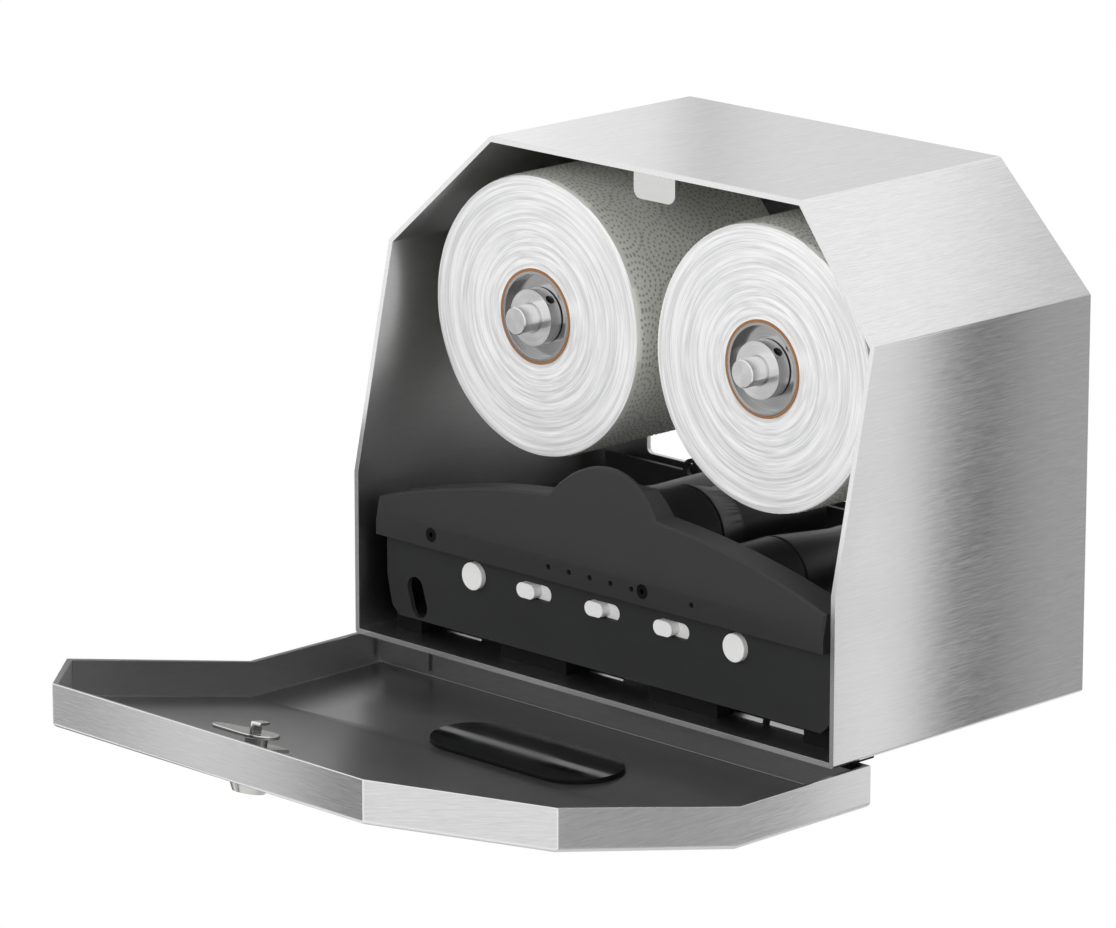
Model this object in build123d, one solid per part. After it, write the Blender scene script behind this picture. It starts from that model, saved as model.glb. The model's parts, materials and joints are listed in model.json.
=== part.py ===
from build123d import *
import math
import os

os.makedirs("parts", exist_ok=True)

# Lengths in millimetres, angles in degrees.
# Heights count from the cabinet's underside and depths from the wall, until the last step
# moves every piece so that the origin is the middle of the four wall holes.

# Rolls of paper, and the room that the cabinet leaves round them
roll_radius = 65.0
roll_width = 100.0
roll_edge_radius = 1.5
core_radius = 22.0
core_wall = 1.2
core_proud = 0.5
roll_side_gap = 12.2
roll_middle_gap = 10.6
roll_roof_gap = 12.4
roll_corner_gap = 7.1
roll_floor_gap = 5.5
nose_door_gap = 7.88

# Cabinet casing and back plate
sheet = 2.5
fold_radius = 1.6
front_bend_height = 77.0
front_lean = 12.3
overrun = 10.0

window_side_land = 27.5
window_low = 61.7
window_land = 10.9
window_corner = 3.0
wall_hole_radius = 3.25
wall_hole_reach = 85.0
wall_hole_low = 40.0
wall_hole_rise = 170.0

# Paper outlets through the floor
outlet_side_land = 22.0
outlet_web = 46.0
outlet_front_inset = 38.0
outlet_length = 92.0
outlet_corner = 3.0

# Strike tab under the roof
tab_width = 25.6
tab_drop = 14.3
tab_thickness = 2.0
tab_setback = 8.0
tab_foot = 18.0
tab_corner = 4.5

# Door, a folded lid that wraps round the casing
door_gap = 1.6
door_floor_gap = 4.4
door_face_gap = 0.5
door_sheet = 2.5
door_skirt = 19.0
door_fold_radius = 2.4
pane_length = 105.0
pane_height = 43.0
pane_bend_gap = 5.5
pane_lip = 3.0
pane_lip_thickness = 2.0

# Hinges between the floor and the door's lower wall
hinge_inset = 15.15
hinge_drop = 2.35
hinge_pin_radius = 0.9
hinge_barrel_radius = 1.75
hinge_leaf = 1.2
hinge_leaf_reach = 13.0
hinge_length = 30.0
hinge_end_gap = 2.0
knuckle_count = 3
hinge_slack = 0.3
edge_match = 0.5
running_gap = 0.05

# Lock
lock_roof_gap = 23.0
lock_head_radius = 10.6
lock_head_height = 7.6
lock_barrel_radius = 8.5
lock_body_width = 16.0
lock_body_length = 30.0
lock_body_height = 7.5
lock_neck_width = 13.0
lock_neck_length = 28.0
lock_neck_height = 2.0
plug_radius = 5.0
keyway_width = 1.4
keyway_length = 6.0
keyway_depth = 5.0
cam_height = 14.0
cam_rest_turn = 15.0
cam_thickness = 1.6
cam_hub_radius = 9.8
cam_reach = 22.0
cam_tip_radius = 5.5
lug_place = 2.1
lug_offset = 6.5
lug_width = 7.5
lug_height = 6.0
lug_thickness = 1.6
lug_hook = 5.0

# Spindles that carry the rolls
spindle_radius = 6.35
spindle_nose = 9.8
spindle_nose_chamfer = 0.4
flange_radius = 21.0
flange_thickness = 5.0
flange_boss_radius = 11.0
flange_boss_length = 21.9
flange_screw_ring = 16.0
flange_screw_count = 3
screw_radius = 2.0
screw_head_radius = 3.6
screw_head_height = 2.4
screw_socket_radius = 1.3
screw_socket_depth = 1.2
collar_radius = 13.0
collar_length = 6.6
collar_chamfer = 0.75
set_screw_radius = 2.2
set_screw_angle = 46.0
set_screw_length = 5.0

# Hubs inside the rolls' cores
hub_wall = 1.5
hub_web = 4.0
hub_front_recess = 4.5
hub_rear_recess = 4.5
bush_wall = 2.6
bush_lip = 1.2
bush_lip_thickness = 0.3
end_play = 0.3

# Black dispensing unit: front plate, hood, tray and rear panel
plate_setback = 11.0
plate_thickness = 2.5
plate_side_gap = 7.5
plate_low = 10.0
plate_crown_rise = 10.0
plate_shoulder_drop = 8.0
plate_tuck = 4.0
plate_corner_width = 8.0
plate_corner_height = 18.0
plate_corner_slope = 3.2
plate_corner_radius = 4.0
finger_hole_width = 10.2
finger_hole_height = 19.5
finger_hole_tilt = 17.0
finger_hole_inset = 19.9
finger_hole_middle = 20.5
hood_setback = 3.8
hood_wall = 2.5
hood_length = 18.0
hood_low = 48.5
hood_side_step = 0.2
hood_shoulder = 66.0
hood_crown_rise = 23.5
hood_lean_start = 60.0
hood_edge_chamfer = 1.0
hump_radius = 40.7
hump_drop = 1.0
hump_back_rise = 34.0
hood_screw_inset = 36.5
hood_screw_offset = 31.0
hood_screw_height = 55.0
hood_screw_radius = 1.6
hood_screw_head = 3.4
hood_boss_radius = 5.0
sight_hole_radius = 1.3
sight_hole_pitch = 13.0
sight_hole_count = 5
sight_hole_middle = -1.7
sight_hole_extra = 61.1
sight_hole_height = 54.8
tray_floor = 2.5
tray_wall = 2.5
leg_wall = 2.0
leg_gap = 2.0
cheek_inset = 3.5
cheek_height = 57.0
cheek_drop = 14.25
rear_depth = 9.5
rear_thickness = 2.5
rear_inset = 1.0
rear_drop = 0.7
ear_reach = 82.0
ear_height = 62.0
ear_radius = 5.3
ear_hole_radius = 3.35
rear_pin_hole_radius = 1.1
rear_pin_hole_reach = 91.3
rear_pin_hole_height = 55.6
tray_screw_inset = 16.0

# Guide rollers and their axles
axle_radius = 3.0
axle_boss_radius = 6.0
axle_front_boss = 5.8
axle_rear_boss = 13.0
axle_seat = 4.0
roller_end_gap = 1.0
roller_groove = 1.5
roller_groove_depth = 1.4
roller_hollow_depth = 10.0
roller_hollow_wall = 2.5
roller_hub_radius = 6.5
middle_roller_height = 64.0
middle_roller_radius = 22.4
middle_roller_small_radius = 17.4
middle_roller_step_depth = 80.0
side_roller_reach = 54.5
side_roller_drop = 10.5
side_roller_radius = 19.4
side_roller_small_radius = 15.4
side_roller_step_depth = 60.0
roller_groove_at = 100.0

# Sliders
slider_pitch = 43.0
slider_height = 38.8
slider_slot_length = 20.1
slider_slot_width = 7.6
slider_knob_length = 11.5
slider_knob_proud = 2.5
slider_strip_height = 10.0
slider_strip_thickness = 2.0
slider_cover = 1.5
slider_slack = 0.3
rail_height = 3.0
rail_half_length = 70.0
retainer_thickness = 2.0
retainer_screw_radius = 0.8
retainer_screw_head = 1.5
retainer_screw_head_height = 1.0

# Push buttons
button_reach = 81.9
button_height = 38.6
button_radius = 6.5
button_proud = 2.4
button_travel = 2.0
button_length = 5.7
button_slack = 0.3
button_edge_radius = 0.5
button_cup_wall = 1.5
button_cup_depth = 9.0
button_stem_radius = 2.0
button_clip_radius = 3.6
button_clip_thickness = 1.2
spring_radius = 4.4
spring_wire_radius = 0.4
spring_turns = 4

lean_tan = math.tan(math.radians(front_lean))
lean_cos = math.cos(math.radians(front_lean))
lean_sin = math.sin(math.radians(front_lean))
half_lean_tan = math.tan(math.radians(front_lean / 2))
datum_height = wall_hole_low + wall_hole_rise / 2

# Across: two rolls side by side set the cabinet's width
spindle_reach = roll_radius + roll_middle_gap / 2
inner_half = spindle_reach + roll_radius + roll_side_gap
half_width = inner_half + sheet
plate_half_width = inner_half - plate_side_gap
hood_half_width = plate_half_width - hood_side_step
cheek_half_width = plate_half_width - cheek_inset
rear_half_width = plate_half_width - rear_inset
window_half_width = inner_half - window_side_land
hinge_middle = half_width - hinge_end_gap - hinge_length / 2
outlet_width = (2 * (plate_half_width - outlet_side_land) - 2 * outlet_web) / 3
outlet_pitch = outlet_width + outlet_web
hood_screw_places = (hood_screw_inset - hood_half_width, hood_screw_offset)

# Upwards: guide rollers, then the rolls, then the roof
side_roller_height = middle_roller_height - side_roller_drop
spindle_height = middle_roller_height + middle_roller_radius + roll_floor_gap + roll_radius
roof = spindle_height + roll_radius + roll_roof_gap
cabinet_height = roof + sheet
corner_sum = spindle_reach + spindle_height + math.sqrt(2) * (roll_radius + roll_corner_gap + sheet)
corner_chamfer = half_width + cabinet_height - corner_sum
window_high = spindle_height - flange_radius - window_land
rear_height = window_low - rear_drop
plate_crown = middle_roller_height + plate_crown_rise
plate_shoulder = hood_shoulder - plate_shoulder_drop
hood_crown = middle_roller_height + hood_crown_rise
hump_middle = middle_roller_height - hump_drop
hump_back_height = hump_middle + hump_back_rise
core_inner = core_radius - core_wall
hub_inner = core_inner - hub_wall

# Forwards from the wall: flange, roll, collar and nose, then the door
flange_front = -sheet - flange_thickness
boss_front = flange_front - flange_boss_length
web_back = boss_front - end_play - bush_lip_thickness
core_back = web_back + hub_rear_recess
core_front = core_back - roll_width - 2 * core_proud
web_front = core_front + hub_front_recess
collar_back = web_front - bush_lip_thickness - end_play
collar_front = collar_back - collar_length
nose_front = collar_front - spindle_nose
cabinet_depth = nose_door_gap - nose_front + (spindle_height - front_bend_height) * lean_tan
plate_depth = cabinet_depth - plate_setback
hood_depth = cabinet_depth - hood_setback
plate_back = plate_thickness - plate_depth
rear_front = -rear_depth - rear_thickness
pane_middle = front_bend_height - pane_bend_gap - pane_height / 2
lock_rise = (cabinet_height - lock_roof_gap - front_bend_height) / lean_cos
hinge_y = hinge_inset - cabinet_depth
hinge_z = -hinge_drop
hinge_axis = Axis((0, hinge_y, hinge_z), (1, 0, 0))
strip_front = plate_back + slider_slack
strip_back = strip_front + slider_strip_thickness
rail_back = strip_back + slider_slack
slider_travel = slider_slot_length - slider_knob_length - 2 * slider_slack


# Face from points in X and Z, or in the two directions of any flat drawing
def outline(points):
    return make_face(Polyline(*points, close=True))


# Solid with a front view drawn in X and Z, from depth y = back forward to y = front
def slab(face, front, back):
    return extrude(Plane.XZ.offset(-back) * face, amount=back - front)


# Solid with a side view drawn in Y and Z, between two places along X
def side_slab(points, left, right):
    return extrude(Plane.YZ.offset(left) * outline(points), amount=right - left)


# Box between two corners
def block(low, high):
    size = [b - a for a, b in zip(low, high)]
    middle = [(a + b) / 2 for a, b in zip(low, high)]
    return Pos(*middle) * Box(*size)


# Round bar along Y
def bar(x, z, radius, front, back):
    return slab(Pos(x, z) * Circle(radius), front, back)


# Turned piece about an axis along Y, from points of radius and depth
def turned(points, x, z):
    return Pos(x, 0, z) * revolve(outline(points), Axis.Y)


# Oblong with round ends, longer side along X
def oblong(length, width):
    return SlotOverall(length, width)


# Cabinet outline seen from the front, grown outwards by a distance
def front_outline(grow, floor_grow):
    half = half_width + grow
    top = cabinet_height + grow
    low = -floor_grow
    slant = half_width + cabinet_height - corner_chamfer + grow * math.sqrt(2)
    right = [(half, low), (half, slant - half), (slant - top, top)]
    left = [(-x, z) for x, z in reversed(right)]
    return right + left


# Depth of the leaning front at a height, moved outwards by a distance
def front_y(z, outward):
    if z <= front_bend_height + outward * half_lean_tan:
        return -cabinet_depth - outward
    return (z - front_bend_height) * lean_tan - cabinet_depth - outward / lean_cos


# Side view of the layer between two distances outwards from the front
def front_band(outer, inner, low, high):
    outer_bend = front_bend_height + outer * half_lean_tan
    inner_bend = front_bend_height + inner * half_lean_tan
    outside = [(front_y(z, outer), z) for z in (low, outer_bend, high)]
    inside = [(front_y(z, inner), z) for z in (high, inner_bend, low)]
    return outside + inside


# The open door: every door piece is drawn shut and then swung down a quarter turn
def swung_open(shape):
    return shape.rotate(hinge_axis, 90)


def casing_shell():
    outside = outline(front_outline(0, 0))
    outside = fillet(outside.vertices(), fold_radius)
    inside = outline(front_outline(-sheet, -sheet))
    shell = slab(outside - inside, -cabinet_depth, 0)
    reach = half_width + overrun
    high = cabinet_height + overrun
    front = [(-cabinet_depth, front_bend_height), (front_y(high, 0), high)]
    front += [(-cabinet_depth - overrun, high), (-cabinet_depth - overrun, front_bend_height)]
    shell -= side_slab(front, -reach, reach)
    for x in (-outlet_pitch, 0, outlet_pitch):
        shell -= outlet_cutter(x)
    for x, y in tray_screw_places():
        shell -= Pos(x, y, 0) * extrude(Circle(screw_radius), amount=sheet)
    return shell


# Rounded cutter for one paper outlet, through the steel floor and the tray above it
def outlet_cutter(x):
    front = outlet_front_inset - cabinet_depth
    face = RectangleRounded(outlet_width, outlet_length, outlet_corner)
    height = plate_low + tray_floor + 2 * overrun
    return Pos(x, front + outlet_length / 2, -overrun) * extrude(face, amount=height)


def back_plate():
    face = outline(front_outline(-sheet, -sheet))
    window_height = window_high - window_low
    window = RectangleRounded(2 * window_half_width, window_height, window_corner)
    face -= Pos(0, window_low + window_height / 2) * window
    for x in (-wall_hole_reach, wall_hole_reach):
        for z in (wall_hole_low, wall_hole_low + wall_hole_rise):
            face -= Pos(x, z) * Circle(wall_hole_radius)
    plate = slab(face, -sheet, 0)
    for side in (-1, 1):
        for x, z in flange_screw_places(side):
            plate -= bar(x, z, screw_radius, -sheet - overrun, overrun)
    return plate


def strike_tab():
    low = roof - tab_drop
    depth = -front_y(roof, 0) - tab_setback
    face = Rectangle(tab_width, tab_drop)
    lower = face.vertices().group_by(Axis.Y)[0]
    face = fillet(lower, tab_corner)
    tab = slab(Pos(0, low + tab_drop / 2) * face, -depth, tab_thickness - depth)
    foot_low = (-tab_width / 2, -depth, roof - tab_thickness)
    foot_high = (tab_width / 2, tab_foot - depth, roof)
    tab += block(foot_low, foot_high)
    bend = tab.edges().filter_by(Axis.X).sort_by(Axis.Y)
    bend = [e for e in bend if abs(e.center().Y + depth) < tab_thickness / 2]
    bend = [e for e in bend if e.center().Z > roof - tab_thickness / 2]
    return fillet(bend, tab_thickness / 2)


# Where the ends of a hinge's knuckles lie along X
def knuckle_places(middle):
    step = hinge_length / knuckle_count
    start = middle - hinge_length / 2
    return [start + step * k for k in range(knuckle_count + 1)]


# Knuckle of a hinge with its bore, between two places along X
def knuckle(left, right, bore):
    ring = Circle(hinge_barrel_radius) - Circle(bore)
    plane = Plane.YZ.offset(left)
    return extrude(plane * (Pos(hinge_y, hinge_z) * ring), amount=right - left)


# Leaf on the cabinet's underside with the two outer knuckles
def hinge_fixed_leaf(middle):
    places = knuckle_places(middle)
    clear = hinge_y + hinge_barrel_radius + hinge_slack
    leaf = block((places[0], clear, -hinge_leaf), (places[3], hinge_y + hinge_leaf_reach, 0))
    for left, right in ((places[0], places[1]), (places[2], places[3])):
        leaf += block((left, hinge_y, -hinge_leaf), (right, clear, 0))
        leaf -= bar_x(hinge_barrel_radius, left, right)
        leaf += knuckle(left, right, hinge_pin_radius)
    return leaf


# Round bar along the hinge axis
def bar_x(radius, left, right):
    face = Pos(hinge_y, hinge_z) * Circle(radius)
    return extrude(Plane.YZ.offset(left) * face, amount=right - left)


# Leaf inside the door's lower wall with the middle knuckle, drawn shut
def hinge_door_leaf(middle):
    places = knuckle_places(middle)
    wall = -door_floor_gap
    clear = hinge_y - hinge_barrel_radius - hinge_slack
    leaf = block((places[0], hinge_y - hinge_leaf_reach, wall), (places[3], clear, wall + hinge_leaf))
    left = places[1] + hinge_slack
    right = places[2] - hinge_slack
    leaf += block((left, clear, wall), (right, hinge_y, wall + hinge_leaf))
    leaf -= bar_x(hinge_barrel_radius, left, right)
    leaf += knuckle(left, right, hinge_pin_radius + running_gap)
    return swung_open(leaf)


def hinge_pins():
    pins = []
    for middle in (-hinge_middle, hinge_middle):
        places = knuckle_places(middle)
        pins.append(bar_x(hinge_pin_radius, places[0], places[3]))
    return Compound(pins)


def door_panel():
    face = door_face_gap + door_sheet
    low = -door_floor_gap - door_sheet - overrun
    high = cabinet_height + door_gap + door_sheet + overrun
    reach = half_width + door_gap + door_sheet + overrun
    grown = outline(front_outline(door_gap + door_sheet, door_floor_gap + door_sheet))
    hollow = outline(front_outline(door_gap, door_floor_gap))
    lid = slab(grown, -cabinet_depth - overrun, 0)
    lid &= side_slab(front_band(face, face - door_skirt, low, high), -reach, reach)
    fold = [e for e in lid.edges() if is_outer_fold(e, face)]
    lid = fillet(fold, door_fold_radius)
    inside = slab(hollow, -cabinet_depth - overrun, overrun)
    inside &= side_slab(front_band(door_face_gap, -cabinet_depth, low, high), -reach, reach)
    lid -= inside
    slot = oblong(pane_length - 2 * pane_lip, pane_height - 2 * pane_lip)
    lid -= slab(Pos(0, pane_middle) * slot, -cabinet_depth - overrun, overrun - cabinet_depth)
    lid -= lock_plane() * Pos(0, 0, -overrun / 2) * Cylinder(lock_barrel_radius, overrun)
    return swung_open(lid)


# Whether an edge of the shut door joins its front face to one of its walls
def is_outer_fold(edge, face):
    middle = edge @ 0.5
    on_front = abs(middle.Y - front_y(middle.Z, face)) < edge_match
    bend = front_bend_height + face * half_lean_tan
    across = abs(middle.Z - bend) < edge_match and abs(middle.X) < half_width / 2
    return on_front and not across


def viewing_pane():
    face = -cabinet_depth - door_face_gap
    lip = slab(Pos(0, pane_middle) * oblong(pane_length, pane_height), face, face + pane_lip_thickness)
    slot = oblong(pane_length - 2 * pane_lip, pane_height - 2 * pane_lip)
    lip += slab(Pos(0, pane_middle) * slot, face - door_sheet, face)
    return swung_open(lip)


# Plane of the door's inner face at the lock, looking into the cabinet, +Y towards the hinge
def lock_plane():
    z = front_bend_height + lock_rise * lean_cos
    y = front_y(z, door_face_gap)
    return Plane((0, y, z), x_dir=(1, 0, 0), z_dir=(0, lean_cos, -lean_sin))


# Box in the lock's own frame
def lock_block(width, length, low, high):
    return Pos(0, 0, (low + high) / 2) * Box(width, length, high - low)


def lock_housing():
    head = Pos(0, 0, -door_sheet - lock_head_height / 2)
    head = head * Cone(lock_barrel_radius - keyway_width, lock_head_radius, lock_head_height)
    barrel = Pos(0, 0, -door_sheet / 2) * Cylinder(lock_barrel_radius, door_sheet)
    body = lock_block(lock_body_width, lock_body_length, 0, lock_body_height)
    body = fillet(body.edges().filter_by(Axis.Z), keyway_width)
    top = lock_body_height + lock_neck_height
    neck = lock_block(lock_neck_width, lock_neck_length, lock_body_height, top)
    housing = head + barrel + body + neck
    housing -= Cylinder(plug_radius + running_gap, 2 * (top + door_sheet + lock_head_height))
    return swung_open(lock_plane() * housing)


def lock_plug():
    low = -door_sheet - lock_head_height
    plug = Pos(0, 0, (low + cam_height) / 2) * Cylinder(plug_radius, cam_height - low)
    key = Box(keyway_length, keyway_width, 2 * keyway_depth)
    plug -= Pos(0, 0, low) * key
    return swung_open(lock_plane() * plug)


# Flat cam with a folded hook, which points to the left and a little outwards while the lock is open
def lock_cam():
    centre = Circle(cam_hub_radius)
    tip = Pos(cam_tip_radius - cam_reach, 0) * Circle(cam_tip_radius)
    face = make_hull((centre + tip).edges())
    cam = Pos(0, 0, cam_height) * extrude(face, amount=cam_thickness)
    top = cam_height + cam_thickness
    low = (lug_place, -lug_width / 2 - lug_offset, top)
    high = (lug_place + lug_thickness, lug_width / 2 - lug_offset, top + lug_height)
    lug = block(low, high)
    hook_low = (lug_place, low[1], high[2] - lug_thickness)
    hook_high = (lug_place + lug_hook, high[1], high[2])
    lug += block(hook_low, hook_high)
    edge = [e for e in lug.edges().filter_by(Axis.Y) if e.center().X < lug_place + running_gap]
    edge = [e for e in edge if e.center().Z > high[2] - running_gap]
    lug = fillet(edge, lug_thickness / 2)
    cam = Rot(0, 0, cam_rest_turn) * (cam + lug)
    return swung_open(lock_plane() * cam)


# Places of the screws round a spindle's flange
def flange_screw_places(side):
    places = []
    for k in range(flange_screw_count):
        turn = math.radians(90 + 360 * k / flange_screw_count)
        x = side * spindle_reach + flange_screw_ring * math.cos(turn)
        places.append((x, spindle_height + flange_screw_ring * math.sin(turn)))
    return places


def spindle_flange(side):
    points = [(spindle_radius, -sheet), (flange_radius, -sheet), (flange_radius, flange_front)]
    points += [(flange_boss_radius, flange_front), (flange_boss_radius, boss_front)]
    points += [(spindle_radius, boss_front)]
    flange = turned(points, side * spindle_reach, spindle_height)
    for x, z in flange_screw_places(side):
        flange -= bar(x, z, screw_radius, flange_front - overrun, overrun)
    return flange


def spindle_rod(side):
    rod = bar(side * spindle_reach, spindle_height, spindle_radius, nose_front, -sheet)
    return chamfer(rod.edges().sort_by(Axis.Y)[0], spindle_nose_chamfer)


# Cap screw along Y with a hexagon socket, its head's seat at a depth
def socket_screw(x, z, seat, length):
    screw = bar(x, z, screw_radius, seat, seat + length)
    screw += bar(x, z, screw_head_radius, seat - screw_head_height, seat)
    socket = Pos(x, z) * RegularPolygon(screw_socket_radius, 6)
    front = seat - screw_head_height
    return screw - slab(socket, front - overrun, front + screw_socket_depth)


def flange_screws():
    screws = []
    for side in (-1, 1):
        for x, z in flange_screw_places(side):
            screws.append(socket_screw(x, z, flange_front, -flange_front))
    return Compound(screws)


# Plane whose Z axis is the set screw's axis, from the spindle's middle outwards
def set_screw_plane(side):
    turn = math.radians(set_screw_angle)
    middle = (side * spindle_reach, (collar_front + collar_back) / 2, spindle_height)
    return Plane(middle, x_dir=(0, 1, 0), z_dir=(math.cos(turn), 0, math.sin(turn)))


def set_collar(side):
    points = [(spindle_radius, collar_back), (collar_radius, collar_back)]
    points += [(collar_radius, collar_front), (spindle_radius + collar_chamfer, collar_front)]
    points += [(spindle_radius, collar_front + collar_chamfer)]
    collar = turned(points, side * spindle_reach, spindle_height)
    hole = extrude(Circle(set_screw_radius), amount=collar_radius + overrun)
    return collar - set_screw_plane(side) * hole


def set_screws():
    screws = []
    for side in (-1, 1):
        screw = extrude(Circle(set_screw_radius), amount=set_screw_length)
        socket = extrude(RegularPolygon(screw_socket_radius, 6), amount=set_screw_length)
        screw -= Pos(0, 0, set_screw_length - screw_socket_depth) * socket
        screws.append(set_screw_plane(side) * Pos(0, 0, spindle_radius) * screw)
    return Compound(screws)


def paper_roll(side):
    front = core_front + core_proud
    back = core_back - core_proud
    points = [(core_radius, front), (roll_radius, front), (roll_radius, back), (core_radius, back)]
    roll = turned(points, side * spindle_reach, spindle_height)
    circles = roll.edges().filter_by(GeomType.CIRCLE)
    rims = [e for e in circles if e.radius > core_radius + roll_edge_radius]
    return fillet(rims, roll_edge_radius)


def roll_core(side):
    points = [(core_inner, core_front), (core_radius, core_front)]
    points += [(core_radius, core_back), (core_inner, core_back)]
    return turned(points, side * spindle_reach, spindle_height)


# Turned sleeve with a recessed web at each end, which carries the roll's core
def roll_hub(side):
    bore = spindle_radius + running_gap + bush_wall
    points = [(hub_inner, core_front), (core_inner, core_front)]
    points += [(core_inner, core_back), (hub_inner, core_back)]
    points += [(hub_inner, web_back), (bore, web_back), (bore, web_back - hub_web)]
    points += [(hub_inner, web_back - hub_web), (hub_inner, web_front + hub_web)]
    points += [(bore, web_front + hub_web), (bore, web_front), (hub_inner, web_front)]
    return turned(points, side * spindle_reach, spindle_height)


# Plain bushes pressed into the two webs
def hub_bushes(side):
    inner = spindle_radius + running_gap
    outer = inner + bush_wall
    bushes = []
    for outside, inside, out in ((web_front, web_front + hub_web, -1), (web_back, web_back - hub_web, 1)):
        lip = outside + out * bush_lip_thickness
        points = [(inner, lip), (outer + bush_lip, lip), (outer + bush_lip, outside)]
        points += [(outer, outside), (outer, inside), (inner, inside)]
        bushes.append(turned(points, side * spindle_reach, spindle_height))
    return Compound(bushes)


# Rounded gable with the half-round hump in its middle, seen from the front
def gable_face(half, low, shoulder, crown, hump):
    roofline = ThreePointArc((half, shoulder), (0, crown), (-half, shoulder))
    walls = Polyline((-half, shoulder), (-half, low), (half, low), (half, shoulder))
    face = make_face(Curve() + [roofline, walls])
    if hump:
        dome = Pos(0, hump_middle) * Circle(hump)
        face += dome & Pos(0, shoulder + hump) * Rectangle(2 * half, 2 * hump)
    return face


# Side view of the hood's space: upright below, leaning back above
def hood_band(front, back, low, high):
    lean = (high - hood_lean_start) * lean_tan
    points = [(front, low), (front, hood_lean_start), (front + lean, high)]
    return points + [(back, high), (back, low)]


def unit_hood():
    front = -hood_depth
    back = hood_length - hood_depth
    reach = hood_half_width + overrun
    high = hump_middle + hump_radius + overrun
    face = gable_face(hood_half_width, hood_low, hood_shoulder, hood_crown, hump_radius)
    hood = slab(face, front, back)
    hood &= side_slab(hood_band(front, back, 0, high), -reach, reach)
    edges = [e for e in hood.edges() if is_hood_edge(e)]
    hood = chamfer(edges, hood_edge_chamfer)
    inner = gable_face(hood_half_width - hood_wall, hood_low - overrun, hood_shoulder - hood_wall,
                       hood_crown - hood_wall, hump_radius - hood_wall)
    hollow = slab(inner, front, back + overrun)
    top = hump_back_height - hood_wall
    hollow &= side_slab(hood_band(front + hood_wall, back + overrun, hood_low + hood_wall, top), -reach, reach)
    hood -= hollow
    hood -= side_slab(behind_hump_lip(front + hood_wall, back + overrun, high), -reach, reach)
    reach = hood_half_width - hood_wall
    hood -= block((-reach, -plate_depth, 0), (reach, back + overrun, hood_low + 2 * hood_wall))
    for x in hood_screw_places:
        hood += bar(x, hood_screw_height, hood_boss_radius, front + hood_wall, -plate_depth)
        hood -= bar(x, hood_screw_height, hood_screw_radius, front - overrun, back)
        hood -= countersink(x, hood_screw_height, hood_screw_radius, hood_screw_head, front)
    for x in sight_hole_places():
        hood -= bar(x, sight_hole_height, sight_hole_radius, front - overrun, front + hood_wall)
    return hood


# Side view of the space above the hump's flat back, where only its front lip goes on up
def behind_hump_lip(lip_back, back, high):
    lip_low = lip_back + (hump_back_height - hood_lean_start) * lean_tan
    lip_high = lip_back + (high - hood_lean_start) * lean_tan
    return [(lip_low, hump_back_height), (lip_high, high), (back, high), (back, hump_back_height)]


# Upper front edges of the hood's leaning face
def is_hood_edge(edge):
    middle = edge @ 0.5
    lean = max(middle.Z - hood_lean_start, 0) * lean_tan
    on_face = abs(middle.Y + hood_depth - lean) < hood_edge_chamfer / 2
    above = middle.Z > hood_lean_start + hood_edge_chamfer
    return on_face and above


def sight_hole_places():
    first = sight_hole_middle - sight_hole_pitch * (sight_hole_count - 1) / 2
    places = [first + sight_hole_pitch * k for k in range(sight_hole_count)]
    return places + [sight_hole_extra]


# Cone of a countersunk head, wide end on the face at a depth
def countersink(x, z, shank, head, face):
    points = [(0, face), (head, face), (shank, face + head - shank), (0, face + head - shank)]
    return turned(points, x, z)


def hood_screws():
    screws = []
    for x in hood_screw_places:
        screw = bar(x, hood_screw_height, hood_screw_radius, -hood_depth, plate_back)
        screw += countersink(x, hood_screw_height, hood_screw_radius, hood_screw_head, -hood_depth)
        socket = Pos(x, hood_screw_height) * RegularPolygon(screw_socket_radius, 6)
        screw -= slab(socket, -hood_depth - overrun, screw_socket_depth - hood_depth)
        screws.append(screw)
    return Compound(screws)


def slider_places():
    return [-slider_pitch, 0, slider_pitch]


def button_places():
    return [-button_reach, button_reach]


def roller_places():
    side = side_roller_reach
    return [(-side, side_roller_height), (0, middle_roller_height), (side, side_roller_height)]


def unit_front_plate():
    half = plate_half_width
    foot = half - plate_corner_slope
    right = [(half - plate_corner_width, plate_low), (foot, plate_low + plate_corner_radius)]
    right += [(half, plate_low + plate_corner_height), (half, hood_low)]
    lower = outline(right + [(-x, z) for x, z in reversed(right)])
    corners = lower.vertices().group_by(Axis.Y)[1]
    lower = fillet(corners, plate_corner_radius)
    half = plate_half_width - plate_tuck
    upper = gable_face(half, hood_low, plate_shoulder, plate_crown, 0)
    face = lower + upper
    hole = Rot(0, 0, 90 + finger_hole_tilt) * oblong(finger_hole_height, finger_hole_width)
    face -= Pos(finger_hole_inset - plate_half_width, finger_hole_middle) * hole
    for x in slider_places():
        face -= Pos(x, slider_height) * oblong(slider_slot_length, slider_slot_width)
    for x in button_places():
        face -= Pos(x, button_height) * Circle(button_radius + button_slack)
    for x in hood_screw_places:
        face -= Pos(x, hood_screw_height) * Circle(hood_screw_radius)
    plate = slab(face, -plate_depth, plate_back)
    for x in button_places():
        plate += button_cup(x)
    for x, z in roller_places():
        plate += bar(x, z, axle_boss_radius, plate_back, plate_back + axle_front_boss)
        seat = plate_back + axle_front_boss
        plate -= bar(x, z, axle_radius, seat - axle_seat, seat + overrun)
    for low in rail_lows():
        plate += block((-rail_half_length, plate_back, low), (rail_half_length, rail_back, low + rail_height))
    for x, z in retainer_screw_places():
        plate -= bar(x, z, retainer_screw_radius, plate_back, rail_back)
    return plate


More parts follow.
